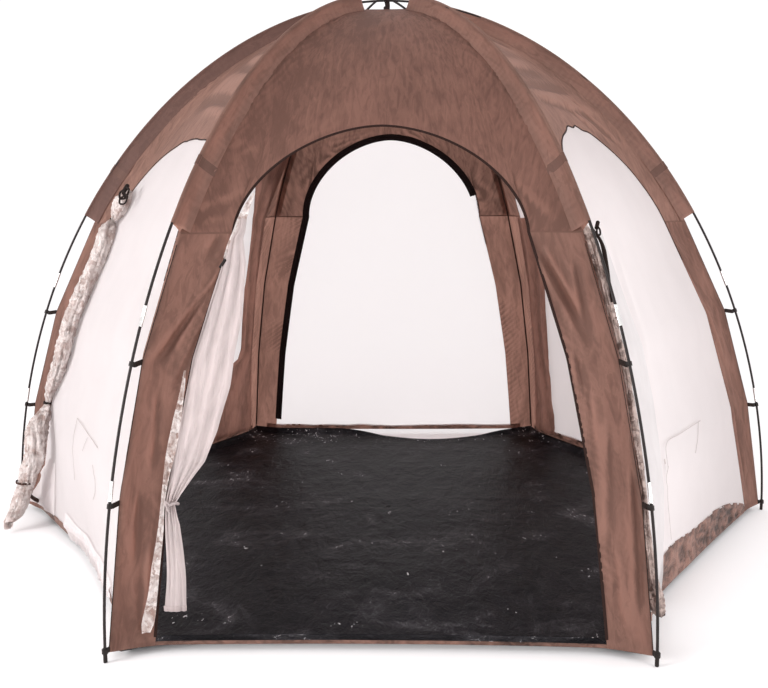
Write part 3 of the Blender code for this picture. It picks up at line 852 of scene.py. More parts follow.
def hard_finish(name, light, dark, roughness, metallic=0.0, scale=60.0, deep=0.0002, stretch=(1, 1, 1)):
    """Plastic, fibreglass or metal with faint scuffs."""
    made, tree = new_material(name)
    scuffs = object_noise(tree, scale, 5.0, 0.65, stretch)
    colour = colour_ramp(tree, scuffs, [(0.3, dark), (0.7, light)])
    bump = node(tree, "ShaderNodeBump", {"Strength": 0.3, "Distance": deep, "Height": scuffs})
    wear = node(
        tree,
        "ShaderNodeMapRange",
        {"Value": scuffs, "To Min": roughness * 0.8, "To Max": min(1.0, roughness * 1.3)},
    )
    solid = node(
        tree,
        "ShaderNodeBsdfPrincipled",
        {
            "Base Color": colour,
            "Roughness": wear.outputs[0],
            "Metallic": metallic,
            "Normal": bump.outputs[0],
        },
    )
    solid.inputs["Specular IOR Level"].default_value = 0.5 if metallic else 0.2
    node(tree, "ShaderNodeOutputMaterial", {"Surface": solid.outputs[0]})
    return made


def webbing_finish(name, light, dark):
    made, tree = new_material(name)
    threads = woven(tree, 0.0018)
    colour = colour_ramp(tree, threads, [(0.1, dark), (0.8, light)])
    bump = node(tree, "ShaderNodeBump", {"Strength": 0.6, "Distance": 0.0004, "Height": threads})
    solid = node(
        tree,
        "ShaderNodeBsdfPrincipled",
        {"Base Color": colour, "Roughness": 0.72, "Normal": bump.outputs[0]},
    )
    solid.inputs["Specular IOR Level"].default_value = 0.15
    node(tree, "ShaderNodeOutputMaterial", {"Surface": solid.outputs[0]})
    return made


LEG_COLOUR = (0.189, 0.103, 0.080)
# The side roof colour is the brown cloth painted lighter for the light that falls on the side panels.
LIT_SIDE_COLOUR = (0.228, 0.128, 0.100)
BROWN = brown_cloth("brown polyester", LEG_COLOUR)
# The front right leg's cloth is the same brown, painted lighter for the light that falls on it.
LIT_LEG_BROWN = brown_cloth("lit brown leg polyester", (0.208, 0.114, 0.089))
# The front roof cloth is painted darker as shade, since it gets less light than the sides and legs, and lighter towards
# the seam over the legs.
SHADED_FRONT_ROOF = brown_cloth(
    "brown roof polyester", (0.140, 0.071, 0.0545), 0.34, 0.22, draw=(46.0, 9.0), lit_low_base=(0.165, 0.087, 0.067), span=0.10
)
# Side roof cloth, painted lighter for the light that falls on it.
LIT_ROOF_SIDE = brown_cloth("brown side roof polyester", LIT_SIDE_COLOUR, 0.34, 0.24)
# The back panels' cloth is a darker, less translucent copy, so their inside shows painted shade.
SHADED_ROOF_BACK = brown_cloth("brown back roof polyester", (0.150, 0.080, 0.062), 0.24, 0.38)
# Sleeve cloth painted lighter for the light that falls on the sleeves' flanks; the right sleeve is painted lighter
# still.
LIT_SLEEVE_BROWN = brown_cloth("brown sleeve polyester", (0.222, 0.124, 0.097), 0.38, 0.20)
LIT_RIGHT_SLEEVE = brown_cloth("lit brown right sleeve polyester", (0.262, 0.150, 0.119), 0.42, 0.20)
SHADE_BROWN = brown_cloth("dark brown polyester", (0.110, 0.056, 0.045), 0.12, 0.12)
SEAM_BROWN = brown_cloth("brown seam", (0.160, 0.084, 0.064), 0.25, 0.12, wrinkles=0.0002)
PATCH_BROWN = brown_cloth("brown patch", (0.120, 0.062, 0.048), 0.15, 0.12, wrinkles=0.0002)
DARK_SEAM = brown_cloth("dark inner seam", (0.045, 0.023, 0.018), 0.02, 0.15, wrinkles=0.0002)
# The hem's crumples get strong painted shade, crests lighter and hollows darker.
HEM_BROWN = brown_cloth("brown hem", (0.132, 0.072, 0.056), 0.15, 0.72, 0.40, 0.005, (20.0, 34.0))
NET = white_net("white netting", (0.78, 0.725, 0.725), 0.55)
# The back netting is painted brighter and lets more light through, so it glows white from inside.
LIT_BACK_NET = white_net("back netting", (0.97, 0.93, 0.935), 0.80, 0.02)
SHADE_NET = white_net("shaded netting", (0.76, 0.62, 0.60), 0.42)
# Crease lines in the netting are a darker netting: painted shade in the folds.
SHADED_CREASE_NET = white_net("creased netting", (0.50, 0.44, 0.43), 0.30)
CURTAIN_NET = white_net("gathered netting", (0.55, 0.465, 0.455), 0.34, 0.24, (26.0, 5.0))
VEIL = white_net("clear door film", (0.60, 0.585, 0.585), 0.36, 0.10, (16.0, 5.0))
FILM = crumpled_film("gathered clear film", (0.95, 0.86, 0.83), (0.48, 0.34, 0.30), 0.38)
FILM_STRIP = crumpled_film("film strip", (0.97, 0.89, 0.86), (0.36, 0.22, 0.18), 0.30)
FILM_BROWN = crumpled_film("film over brown cloth", (0.62, 0.48, 0.43), (0.14, 0.075, 0.058), 0.22)
FLOOR = crinkled_sheet("black floor sheet")
ROD = hard_finish("fibreglass", (0.026, 0.020, 0.019), (0.011, 0.008, 0.008), 0.34, stretch=(1, 1, 0.1))
FERRULE = hard_finish("bright ferrule", (0.86, 0.85, 0.84), (0.70, 0.69, 0.68), 0.22, 1.0)
PLASTIC = hard_finish("black plastic", (0.020, 0.014, 0.013), (0.009, 0.007, 0.006), 0.45, scale=180.0)
WEBBING = webbing_finish("black webbing", (0.034, 0.019, 0.015), (0.010, 0.006, 0.005))
BROWN_TAPE = webbing_finish("brown tape", (0.085, 0.042, 0.033), (0.040, 0.019, 0.015))
ZIP_TAPE = webbing_finish("zip tape", (0.046, 0.020, 0.016), (0.018, 0.008, 0.006))
ZIP_BLACK = webbing_finish("black zip", (0.022, 0.009, 0.008), (0.007, 0.003, 0.003))


# Camera, floor and light

CAMERA_AT = (0.102, -4.839, 1.646)
CAMERA_YAW, CAMERA_PITCH, CAMERA_ROLL = -1.44, 9.0, -0.30  # degrees, pitch down
CAMERA_LENS = 44.68


def camera():
    yaw, pitch, roll = (math.radians(a) for a in (CAMERA_YAW, CAMERA_PITCH, CAMERA_ROLL))
    ahead = Vector((math.sin(yaw) * math.cos(pitch), math.cos(yaw) * math.cos(pitch), -math.sin(pitch)))
    level = Vector((math.cos(yaw), -math.sin(yaw), 0))
    above = level.cross(ahead)
    right = level * math.cos(roll) + above * math.sin(roll)
    up = -level * math.sin(roll) + above * math.cos(roll)
    made = bpy.data.objects.new("camera", bpy.data.cameras.new("camera"))
    bpy.context.scene.collection.objects.link(made)
    made.data.sensor_width = 36.0
    made.data.lens = CAMERA_LENS
    turn = Matrix((right, up, -ahead)).transposed()
    made.matrix_world = Matrix.Translation(CAMERA_AT) @ turn.to_4x4()
    bpy.context.scene.camera = made


def soft_light(name, at, aim, size, power):
    lamp = bpy.data.lights.new(name, "AREA")
    lamp.shape = "DISK"
    lamp.size = size
    lamp.energy = power
    made = bpy.data.objects.new(name, lamp)
    bpy.context.scene.collection.objects.link(made)
    made.location = at
    made.rotation_euler = (Vector(aim) - Vector(at)).to_track_quat("-Z", "Y").to_euler()


def studio():
    bpy.context.scene.view_settings.view_transform = "Standard"
    world = bpy.data.worlds.new("pale studio")
    bpy.context.scene.world = world
    world.use_nodes = True
    sky = world.node_tree.nodes["Background"]
    sky.inputs["Color"].default_value = (1.0, 0.985, 0.99, 1.0)
    sky.inputs["Strength"].default_value = 1.08
    soft_light("left light", (-6.0, -4.2, 2.4), (0, 0, 1.0), 2.6, 330)
    soft_light("right light", (5.5, -5.0, 1.6), (0, 0, 1.0), 3.5, 190)
    mesh = bpy.data.meshes.new("studio_floor")
    reach = 60.0
    mesh.from_pydata([(-reach, -reach, 0), (reach, -reach, 0), (reach, reach, 0), (-reach, reach, 0)], [], [(0, 1, 2, 3)])
    ground = bpy.data.objects.new("studio_floor", mesh)
    ground.location.z = -0.001
    bpy.context.scene.collection.objects.link(ground)
    pale, tree = new_material("pale floor")
    matt = node(tree, "ShaderNodeBsdfDiffuse", {"Color": (0.98, 0.965, 0.97, 1.0)})
    node(tree, "ShaderNodeOutputMaterial", {"Surface": matt.outputs[0]})
    mesh.materials.append(pale)


camera()
studio()


# Roof panels

ROOF_STRIP = 12
ROOF_ARCH = 76
ROOF_ROWS = 64


def roof_grid(side):
    """(along, height) over a roof panel, from its lower edge up to the hole in the crown."""
    turns = np.linspace(-1, 1, ROOF_ARCH + 1)
    arch_along, arch_height = arch_point(turns, side)
    strip = np.linspace(half_side(SEAM_HEIGHT), opening_half(SEAM_HEIGHT), ROOF_STRIP + 1)[:-1]
    low_along = np.concatenate([-strip, arch_along, strip[::-1]])
    low_height = np.concatenate([np.full(ROOF_STRIP, SEAM_HEIGHT), arch_height, np.full(ROOF_STRIP, SEAM_HEIGHT)])
    low_share = low_along / half_side(low_height)
    even_share = np.linspace(-1, 1, len(low_along))
    crown = np.interp(-CROWN_HOLE, -RIDGE_RADII, PROFILE_ANGLES)
    rise = np.linspace(0, 1, ROOF_ROWS + 1)[:, None]
    angle = ridge_angle(low_height) + (crown - ridge_angle(low_height)) * rise
    height = np.interp(angle, PROFILE_ANGLES, RIDGE_HEIGHTS)
    height[0] = low_height
    share = low_share + (even_share - low_share) * rise
    return share * half_side(height), height


# Long creases of the roof panels: start, end, width and depth, as (along, height)
ROOF_FOLDS = {
    "left_front": (
        ((0.46, 2.20), (-0.25, 2.28), 0.030, 0.007),
        ((0.52, 2.10), (-0.33, 2.20), 0.028, 0.008),
        ((0.58, 2.02), (-0.38, 2.09), 0.028, -0.007),
        ((0.62, 1.93), (-0.20, 2.06), 0.022, 0.006),
        ((0.55, 2.08), (0.02, 2.14), 0.016, -0.005),
        ((0.66, 1.86), (0.20, 1.97), 0.016, 0.005),
    ),
    "right_front": (
        ((-0.10, 2.40), (0.25, 2.33), 0.016, -0.005),
        ((-0.42, 2.18), (0.22, 2.24), 0.022, 0.006),
        ((-0.30, 2.10), (0.40, 2.12), 0.020, -0.006),
        ((-0.25, 2.06), (0.52, 2.02), 0.018, 0.006),
        ((0.05, 2.10), (0.30, 1.90), 0.012, 0.005),
        ((0.14, 2.12), (0.42, 1.88), 0.012, -0.005),
        ((0.24, 2.13), (0.52, 1.84), 0.012, 0.005),
    ),
    "front": (
        ((-0.74, 1.53), (-0.56, 1.60), 0.012, -0.004),
        ((-0.72, 1.58), (-0.50, 1.66), 0.012, 0.004),
        ((0.50, 1.70), (0.66, 1.54), 0.012, 0.006),
        ((0.54, 1.64), (0.60, 1.51), 0.008, -0.005),
        ((-0.62, 1.86), (-0.48, 1.80), 0.010, 0.003),
    ),
}


def from_arch(along, run, side):
    """Distance over the cloth from each point to the arch in a roof panel."""
    arch_along, arch_height = arch_point(np.linspace(-1, 1, 241), side)
    arch_run = up_the_cloth(arch_height)
    best = np.full(along.shape, 9.0)
    for place, up in zip(arch_along, arch_run):
        best = np.minimum(best, np.hypot(along - place, run - up))
    return best


def roof_wrinkles(side, along, height, seed):
    run = up_the_cloth(height)
    from_ridge = half_side(height) - np.abs(along)
    arch = from_arch(along, run, side)
    from_top = run[-1:] - run
    soft = 0.0055 * rough(along * 1.7, run * 1.3, seed)
    drawn = 0.0055 * (creased(along * 10, run * 2.0, seed + 20, 2) - 0.6)
    drawn = drawn * eased(0.50 + 1.4 * noise(along * 2.1, run * 2.0, seed + 30))
    drawn = drawn + 0.0016 * (creased(along * 26, run * 6.0, seed + 25, 2) - 0.6)
    for start, end, wide, deep in ROOF_FOLDS.get(side, ()):
        drawn = drawn + 1.6 * fold(along, height, start, end, wide, deep)
    ridge = pucker(from_ridge, run, 0.070, 0.034, 0.0032, seed + 40, 0.9)
    deep = 0.0080 if side == "back" else 0.0020
    edge = pucker(arch, np.arctan2(run, along) * 0.6, 0.060, 0.030, deep, seed + 50)
    fade = eased(from_ridge / 0.04) * eased(arch / 0.04) * eased(from_top / 0.04) * eased(run / 0.04)
    short = (ridge + edge) * eased(from_top / 0.03) * eased(from_ridge / 0.015)
    return (soft + drawn) * fade + short, (drawn * fade + short) / 0.0026


def roof_panel(side, azimuth, seed):
    along, height = roof_grid(side)
    smooth = skin(along, height, CLOTH_OUT, azimuth)
    wrinkles, relief = roof_wrinkles(side, along, height, seed)
    wrinkled = skin(along, height, CLOTH_OUT + wrinkles, azimuth)
    made = piece(
        f"roof_{side}",
        [grid_shape(wrinkled, cloth_places(smooth))],
        SHADED_FRONT_ROOF if side == "front" else LIT_ROOF_SIDE if side.endswith("front") else SHADED_ROOF_BACK,
        [f"roof_panel_{side}"],
        relief=relief,
    )


# Corner legs, with long folds chosen from how each one hangs

LEG_COLUMNS = 26
LEG_ROWS = 150
# Start, end, width and depth of each fold as (along, height) on a side
LEG_FOLDS = {
    ("front", 1): (
        ((0.528, 1.627), (0.640, 1.500), 0.012, 0.005),
        ((0.560, 1.48), (0.785, 1.061), 0.014, -0.012),
        ((0.600, 1.46), (0.740, 1.20), 0.012, 0.008),
        ((0.712, 1.42), (0.762, 1.110), 0.012, -0.008),
        ((0.700, 1.09), (0.735, 0.930), 0.010, -0.008),
        ((0.760, 0.98), (0.805, 0.55), 0.014, 0.006),
        ((0.820, 0.86), (0.825, 0.40), 0.013, -0.006),
        ((0.888, 0.75), (0.930, 0.10), 0.012, -0.009),
        ((0.845, 0.40), (0.880, 0.08), 0.014, 0.006),
    ),
    ("front", -1): (
        ((-0.575, 1.560), (-0.650, 1.390), 0.012, -0.006),
        ((-0.600, 1.345), (-0.835, 1.000), 0.013, -0.012),
        ((-0.584, 1.400), (-0.770, 1.040), 0.012, 0.007),
        ((-0.640, 1.20), (-0.760, 0.900), 0.012, -0.006),
        ((-0.800, 0.980), (-0.812, 0.620), 0.012, -0.006),
        ((-0.858, 0.620), (-0.876, 0.30), 0.012, -0.007),
        ((-0.830, 0.450), (-0.850, 0.08), 0.014, 0.006),
        ((-0.900, 0.90), (-0.915, 0.35), 0.012, 0.005),
    ),
    ("right_front", 1): (
        ((0.560, 1.45), (0.700, 1.15), 0.012, -0.006),
        ((0.690, 1.10), (0.800, 0.75), 0.012, 0.005),
        ((0.800, 0.60), (0.860, 0.12), 0.012, -0.006),
    ),
}


def leg_wrinkles(side, sign, from_ridge, height, seed):
    """How far a leg's cloth stands out on one side of its ridge."""
    width = strip_width(height)
    along = sign * (half_side(height) - from_ridge)
    to_edge = width - from_ridge
    fade = eased(from_ridge / 0.02) * eased(to_edge / 0.008) * eased((height - HEM_BOTTOM) / 0.05)
    total = 0.0060 * rough(from_ridge * 7, height * 2.4, seed)
    total = total + 0.0048 * (creased(from_ridge * 16 + height * 2.5, height * 3.0, seed + 5, 2) - 0.6)
    for start, end, wide, deep in LEG_FOLDS.get((side, sign), ()):
        total = total + 1.5 * fold(along, height, start, end, wide, deep)
    inward = side in ("back", "left_back", "right_back")
    edge = pucker(to_edge, height, 0.075, 0.034, 0.0085 if inward else 0.0030, seed + 11, 0.8 * sign)
    top = pucker(SEAM_HEIGHT - height, along, 0.10, 0.034, 0.0024, seed + 17)
    total = total * eased((SEAM_HEIGHT - height) / 0.03)
    return (total + edge + top) * fade, (total + edge + top) * fade / 0.0048


def corner_leg(corner, azimuth, seed):
    heights = SEAM_HEIGHT + (HEM_BOTTOM - SEAM_HEIGHT) * np.linspace(0, 1, LEG_ROWS + 1)[:, None]
    share = np.linspace(0, 1, LEG_COLUMNS + 1)[None, :]
    halves, flat_halves, reliefs = [], [], []
    for sign, turn in ((1, -30), (-1, 30)):
        side = next(name for name, angle in SIDES.items() if (angle - azimuth - turn) % 360 == 0)
        from_ridge = strip_width(heights) * share
        along = sign * (half_side(heights) - from_ridge)
        wrinkles, relief = leg_wrinkles(side, sign, from_ridge, heights, seed + sign)
        halves.append(skin(along, heights, CLOTH_OUT + wrinkles, azimuth + turn))
        reliefs.append(relief)
        flat_halves.append(skin(along, heights, CLOTH_OUT, azimuth + turn))
    for pair in (halves, flat_halves):
        ridge = (pair[0][:, 0] + pair[1][:, 0]) / 2
        pair[0][:, 0] = ridge
        pair[1][:, 0] = ridge
    points = np.concatenate([halves[0][:, ::-1], halves[1][:, 1:]], axis=1)
    smooth = np.concatenate([flat_halves[0][:, ::-1], flat_halves[1][:, 1:]], axis=1)
    relief = np.concatenate([reliefs[0][:, ::-1], reliefs[1][:, 1:]], axis=1)
    made = piece(
        f"leg_{corner}",
        [grid_shape(points[::-1], cloth_places(smooth[::-1]))],
        LIT_LEG_BROWN if corner == "front_right" else BROWN,
        [f"corner_leg_{corner}"],
        relief=relief[::-1],
    )


# Sleeves that stand off the ridges and hold the poles

SLEEVE_ROWS = 130
SLEEVE_POLE_ROOM = 0.0068
SLEEVE_DROP = 0.070  # from the pole down to where the sleeve is sewn to the roof
SLEEVE_FLARE = 0.021
PATCH_HEIGHT = 1.77


def sleeve(corner, azimuth, lift, seed):
    low = ridge_angle(SEAM_HEIGHT + SLEEVE_START)
    high = np.interp(-SLEEVE_TOP, -POLE_RADII, PROFILE_ANGLES)
    angle = np.linspace(low, high, SLEEVE_ROWS + 1)
    radius, height = pole_point(angle)
    lean_out, lean_up = pole_lean(angle)
    run = np.interp(angle, PROFILE_ANGLES, RIDGE_RUN)
    share = np.linspace(1, 0, 11)
    turns = np.radians(np.linspace(-115, 115, 9))
    profile = [(-0.0070 - SLEEVE_DROP * part, -0.0052 - SLEEVE_FLARE * part**1.7) for part in share]
    profile += [(SLEEVE_POLE_ROOM * math.cos(turn), SLEEVE_POLE_ROOM * math.sin(turn)) for turn in turns]
    profile += [(out, -aside) for out, aside in reversed(profile[: len(share)])]
    profile = np.array(profile)
    grids = []
    for wrinkled in (0.0, 1.0):
        out = np.broadcast_to(profile[None, :, 0], (len(angle), len(profile)))
        aside = np.broadcast_to(profile[None, :, 1], out.shape)
        depth = np.clip(1 + out / (SLEEVE_DROP + 0.007), 0, 1)
        wave = 0.0030 * rough(run[:, None] * 5, depth * 0.6, seed) * eased(depth / 0.3)
        wave = wave + 0.0012 * np.sin(2 * math.pi * (run[:, None] / 0.03 + 2 * noise(run[:, None] * 3, 0, seed + 3))) * (
            eased((1 - depth) / 0.6) * eased(depth / 0.1)
        )
        aside = aside + wrinkled * wave
        raised = lift_at(radius, lift)[:, None] * depth
        points = np.stack(
            [
                radius[:, None] + out * lean_out[:, None],
                aside,
                height[:, None] + out * lean_up[:, None] + raised,
            ],
            axis=-1,
        )
        grids.append(turned(points, azimuth))
    smooth, points = grids
    made = piece(
        f"sleeve_cloth_{corner}",
        [grid_shape(points, cloth_places(smooth))],
        {"left": SHADE_BROWN, "right": LIT_RIGHT_SLEEVE}.get(corner, LIT_SLEEVE_BROWN),
        [f"sleeve_{corner}"],
        relief=np.broadcast_to(wave, out.shape) / 0.003,
    )
    patch = np.abs(height - PATCH_HEIGHT) < 0.021
    rows = points[patch]
    middle = rows.mean(axis=1, keepdims=True)
    sleeve_patch = grid_shape(middle + (rows - middle) * 1.06, cloth_places(rows))
    piece(f"sleeve_patch_{corner}", [sleeve_patch], PATCH_BROWN)


# Netting in the arched openings

NET_COLUMNS = 64
NET_ROWS = 70
# How high the brown hem reaches up the middle of each side
HEM_RISES = {
    "right_front": 0.172,
    "left_front": 0.066,
    "right_back": 0.085,
    "left_back": 0.085,
    "back": 0.062,
}


def hem_top(side, along, height=HEM_TOP):
    """The wavy upper edge of the hem, low at both ends."""
    if side == "front":
        return np.full_like(along, SILL_TOP)
    share = np.clip(along / opening_half(HEM_TOP), -1, 1)
    rise = (HEM_RISES[side] - HEM_TOP) * (1 - np.abs(share) ** 3)
    if side == "right_front":
        rise = rise + 0.052 * np.exp(-(((share + 0.5) / 0.33) ** 2)) * (1 - share**4)
    return HEM_TOP + rise + 0.006 * noise(along * 9, 0, azimuth_seed(side)) * (1 - share**2)


def azimuth_seed(side):
    return 3.0 + list(SIDES).index(side)


def net_wrinkles(side, along, height, seed):
    edge = opening_half(np.minimum(height, SEAM_HEIGHT)) - np.abs(along)
    across = np.clip(np.abs(along) / opening_half(SEAM_HEIGHT), 0, 1)
    crest = SEAM_HEIGHT + (ARCH_TOPS[side] - SEAM_HEIGHT) * (1 - across**ARCH_POWER) ** (1 / ARCH_POWER)
    calm = 0.034 if side == "back" else 0.0
    edge = np.where(height > SEAM_HEIGHT, np.minimum(edge, crest - height), edge)
    bottom = height - hem_top(side, along)
    soft = 0.0045 * rough(along * 1.4, height * 1.1, seed)
    hanging = 0.0022 * rough(along * 7, height * 0.9, seed + 4)
    low = 0.0045 * (creased(along * 9, height * 5, seed + 8, 2) - 0.6) * np.exp(-np.clip(bottom, 0, None) / 0.16)
    seam = pucker(np.clip(edge, 0, None), height, 0.04, 0.03, 0.0012, seed + 12)
    fade = eased((edge - calm) / (0.02 + calm)) * eased(bottom / 0.02)
    return (soft + hanging + low) * fade + seam * fade


def window_net(side, azimuth, seed):
    turns = np.linspace(-1, 1, NET_COLUMNS + 1)[None, :]
    rise = np.linspace(0, 1, NET_ROWS + 1)[:, None]
    along_top, crest = arch_point(turns, side)
    low = hem_top(side, along_top * opening_half(HEM_TOP) / opening_half(SEAM_HEIGHT)) - 0.008
    height = low + rise * (crest - low)
    along = along_top * opening_half(height) / opening_half(SEAM_HEIGHT)
    smooth = skin(along, height, NET_OUT, azimuth)
    out = NET_OUT + net_wrinkles(side, along, height, seed)
    if side == "right_front":
        out = out + fold(along, height, (-0.42, 0.600), (0.16, 0.680), 0.010, 0.003)
        out = out + fold(along, height, (0.127, 0.70), (0.037, 0.400), 0.010, -0.003)
        out = out + fold(along, height, (-0.45, 0.62), (-0.36, 0.200), 0.012, 0.005)
        out = out + fold(along, height, (-0.30, 1.50), (-0.42, 0.850), 0.030, 0.006)
    if side == "left_front":
        out = out + fold(along, height, (-0.16, 0.66), (0.36, 0.600), 0.010, 0.003)
        out = out + fold(along, height, (0.30, 0.74), (0.23, 0.330), 0.010, -0.003)
        out = out + fold(along, height, (-0.10, 0.70), (-0.16, 0.300), 0.012, 0.004)
    points = skin(along, height, out, azimuth)
    made = piece(
        f"net_{side}",
        [grid_shape(points, cloth_places(smooth))],
        {"right_back": SHADE_NET, "back": LIT_BACK_NET}.get(side, NET),
        [f"window_net_{side}"],
    )


# Lines where the netting was folded: side, then (along, height) points
NET_CREASES = (
    ("left_front", ((-0.140, 0.640), (0.090, 0.625), (0.311, 0.610))),
    ("left_front", ((-0.140, 0.640), (-0.147, 0.500), (-0.160, 0.350))),
    ("left_front", ((0.115, 0.608), (0.085, 0.570), (0.061, 0.539))),
    ("left_front", ((0.269, 0.529), (0.320, 0.480), (0.300, 0.420), (0.239, 0.370))),
    ("right_front", ((-0.450, 0.560), (-0.402, 0.650), (-0.200, 0.645), (0.140, 0.631))),
    ("right_front", ((0.140, 0.631), (0.085, 0.580), (0.012, 0.517))),
    ("right_front", ((-0.440, 0.570), (-0.480, 0.500), (-0.364, 0.246))),
)


def net_creases():
    shapes = []
    for side, route in NET_CREASES:
        line = smooth_line(np.array(route), 9)
        out = 0.014 if side == "right_front" and route[0][0] < -0.3 else 0.006
        shapes.append(side_ribbon(line[:, 0], line[:, 1], SIDES[side], 0.0018, 0.0012, out))
    tag = side_ribbon((-0.490, -0.476), (0.597, 0.597), SIDES["right_front"], 0.010, 0.0012, 0.018)
    piece("net_creases", [*shapes, tag], SHADED_CREASE_NET, sharp=40)


# Brown door flaps hang gathered inside two back walls; their free edges are (along, height)
LEFT_FLAP = (
    (-0.200, 1.870),
    (-0.270, 1.780),
    (-0.345, 1.680),
    (-0.414, 1.548),
    (-0.484, 1.331),
    (-0.560, 1.083),
    (-0.598, 0.869),
    (-0.640, 0.640),
    (-0.620, 0.575),
    (-0.540, 0.540),
    (-0.490, 0.440),
    (-0.460, 0.300),
    (-0.430, 0.160),
    (-0.415, 0.058),
)
RIGHT_FLAP = (
    (0.430, 1.500),
    (0.450, 1.350),
    (0.480, 1.188),
    (0.551, 0.906),
    (0.611, 0.586),
    (0.607, 0.365),
    (0.593, 0.164),
    (0.600, 0.058),
)


def inner_flap(side, sign, edge):
    edge = np.array(edge)[::-1]
    height = np.linspace(edge[0, 1], edge[-1, 1], 130)[:, None]
    free = np.interp(height, edge[:, 1], edge[:, 0])
    fixed = sign * (opening_half(height) + 0.006)
    share = np.linspace(0, 1, 35)[None, :]
    along = fixed + (free - fixed) * share
    low = 1 - eased((height - 0.50) / 0.12)
    waves = 0.0050 * (creased(share * 3 + height, height * 5, 640, 2) - 0.5)
    waves = waves + 0.0085 * low * (creased(share * 4, height * 7, 650, 3) - 0.5)
    waves = waves + 0.005 * np.sin(2 * math.pi * (share * 1.7 + 0.6 * noise(height * 3, 0.0, 660)))
    out = -0.016 + waves * eased(share / 0.2)
    points = skin(along, height, np.minimum(out, -0.0085), SIDES[side])
    made = piece(
        f"inner_flap_{side}",
        [grid_shape(points, cloth_places(points))],
        BROWN,
        relief=waves / -0.006,
    )


# Loose netting over the left foot, and where it hangs over the hem of the same side
FOOT_NET_EDGE = ((-0.895, 0.052), (-0.880, 0.080), (-0.835, 0.130), (-0.760, 0.210), (-0.690, 0.330))


def loose_netting():
    edge = np.array(FOOT_NET_EDGE)
    height = np.linspace(0.062, 0.330, 44)[:, None]
    outer = np.interp(height, edge[:, 1], edge[:, 0])
    share = np.linspace(0, 1, 45)[None, :]
    along = outer + (-0.560 - outer) * share
    crumple = 0.018 * (creased(along * 9, height * 10, 670, 3) - 0.4)
    rim = eased((1 - share) / 0.35) * eased((0.335 - height) / 0.08)
    out = 0.0075 + (0.012 + crumple) * rim + 0.010 * (1 - share) ** 2 * rim
    foot = skin(along, height, np.maximum(out, 0.0065), SIDES["left_front"])
    places = cloth_places(foot)
    made = piece("loose_net_left_foot", [grid_shape(foot, places)], NET, relief=crumple * rim / 0.009)
    along = np.linspace(-0.360, 0.600, 150)[None, :]
    top = 0.135 + 0.015 * noise(along * 6, 0.0, 680)
    low = 0.074 - 0.048 * eased((along + 0.360) / 0.10) * eased((0.600 - along) / 0.16)
    low = low + 0.006 * noise(along * 14, 0.0, 685)
    rise = np.linspace(0, 1, 22)[:, None]
    height = low + (top - low) * rise
    crumple = 0.016 * (creased(along * 13, height * 16, 690, 3) - 0.35)
    out = 0.0095 + (0.003 + crumple) * eased((1 - rise) / 0.5)
    skirt = skin(along, height, np.maximum(out, 0.0080), SIDES["left_front"])
    places = cloth_places(skirt)
    made = piece("loose_net_left_hem", [grid_shape(skirt, places)], NET, relief=crumple / 0.009)


# Hem round the foot and the floor sheet


def hem():
    shapes = []
    reliefs = []
    for side, azimuth in SIDES.items():
        columns = 130 if side != "front" else 60
        reach = half_side(HEM_BOTTOM) - 0.08
        along = np.linspace(-reach, reach, columns + 1)[None, :]
        top = hem_top(side, along)
        rise = np.linspace(0, 1, 15)[:, None]
        height = HEM_BOTTOM + (top - HEM_BOTTOM) * rise
        smooth = skin(along, height, 0.0008, azimuth)
        tall = (top - HEM_BOTTOM) / 0.06
        crumple = 0.0130 * (creased(along * 13 + height * 9, height * 22, 60 + azimuth, 3) - 0.50)
        crumple = crumple * np.clip(tall, 0.14, 1.0)
        at_leg = eased((opening_half(HEM_TOP) + 0.01 - np.abs(along)) / 0.04)
        out = 0.0012 + (crumple + 0.002) * at_leg * eased(rise / 0.1)
        points = skin(along, height, out, azimuth)
        shapes.append(grid_shape(points, cloth_places(smooth)))
        reliefs.append((crumple * at_leg * eased(rise / 0.1)).ravel() / 0.005)
    made = piece("hem", shapes, HEM_BROWN, ["base_hem"], relief=np.concatenate(reliefs))


FLOOR_RINGS = 110
FLOOR_SPOKES = 384
FLOOR_FLAT = 0.965  # share of the way out where the sheet lifts off the ground
SILL_LAP = 0.058
BACK_SLACK = 0.20
BACK_SLACK_CENTRE = 0.26
BACK_SLACK_HALF = 0.66


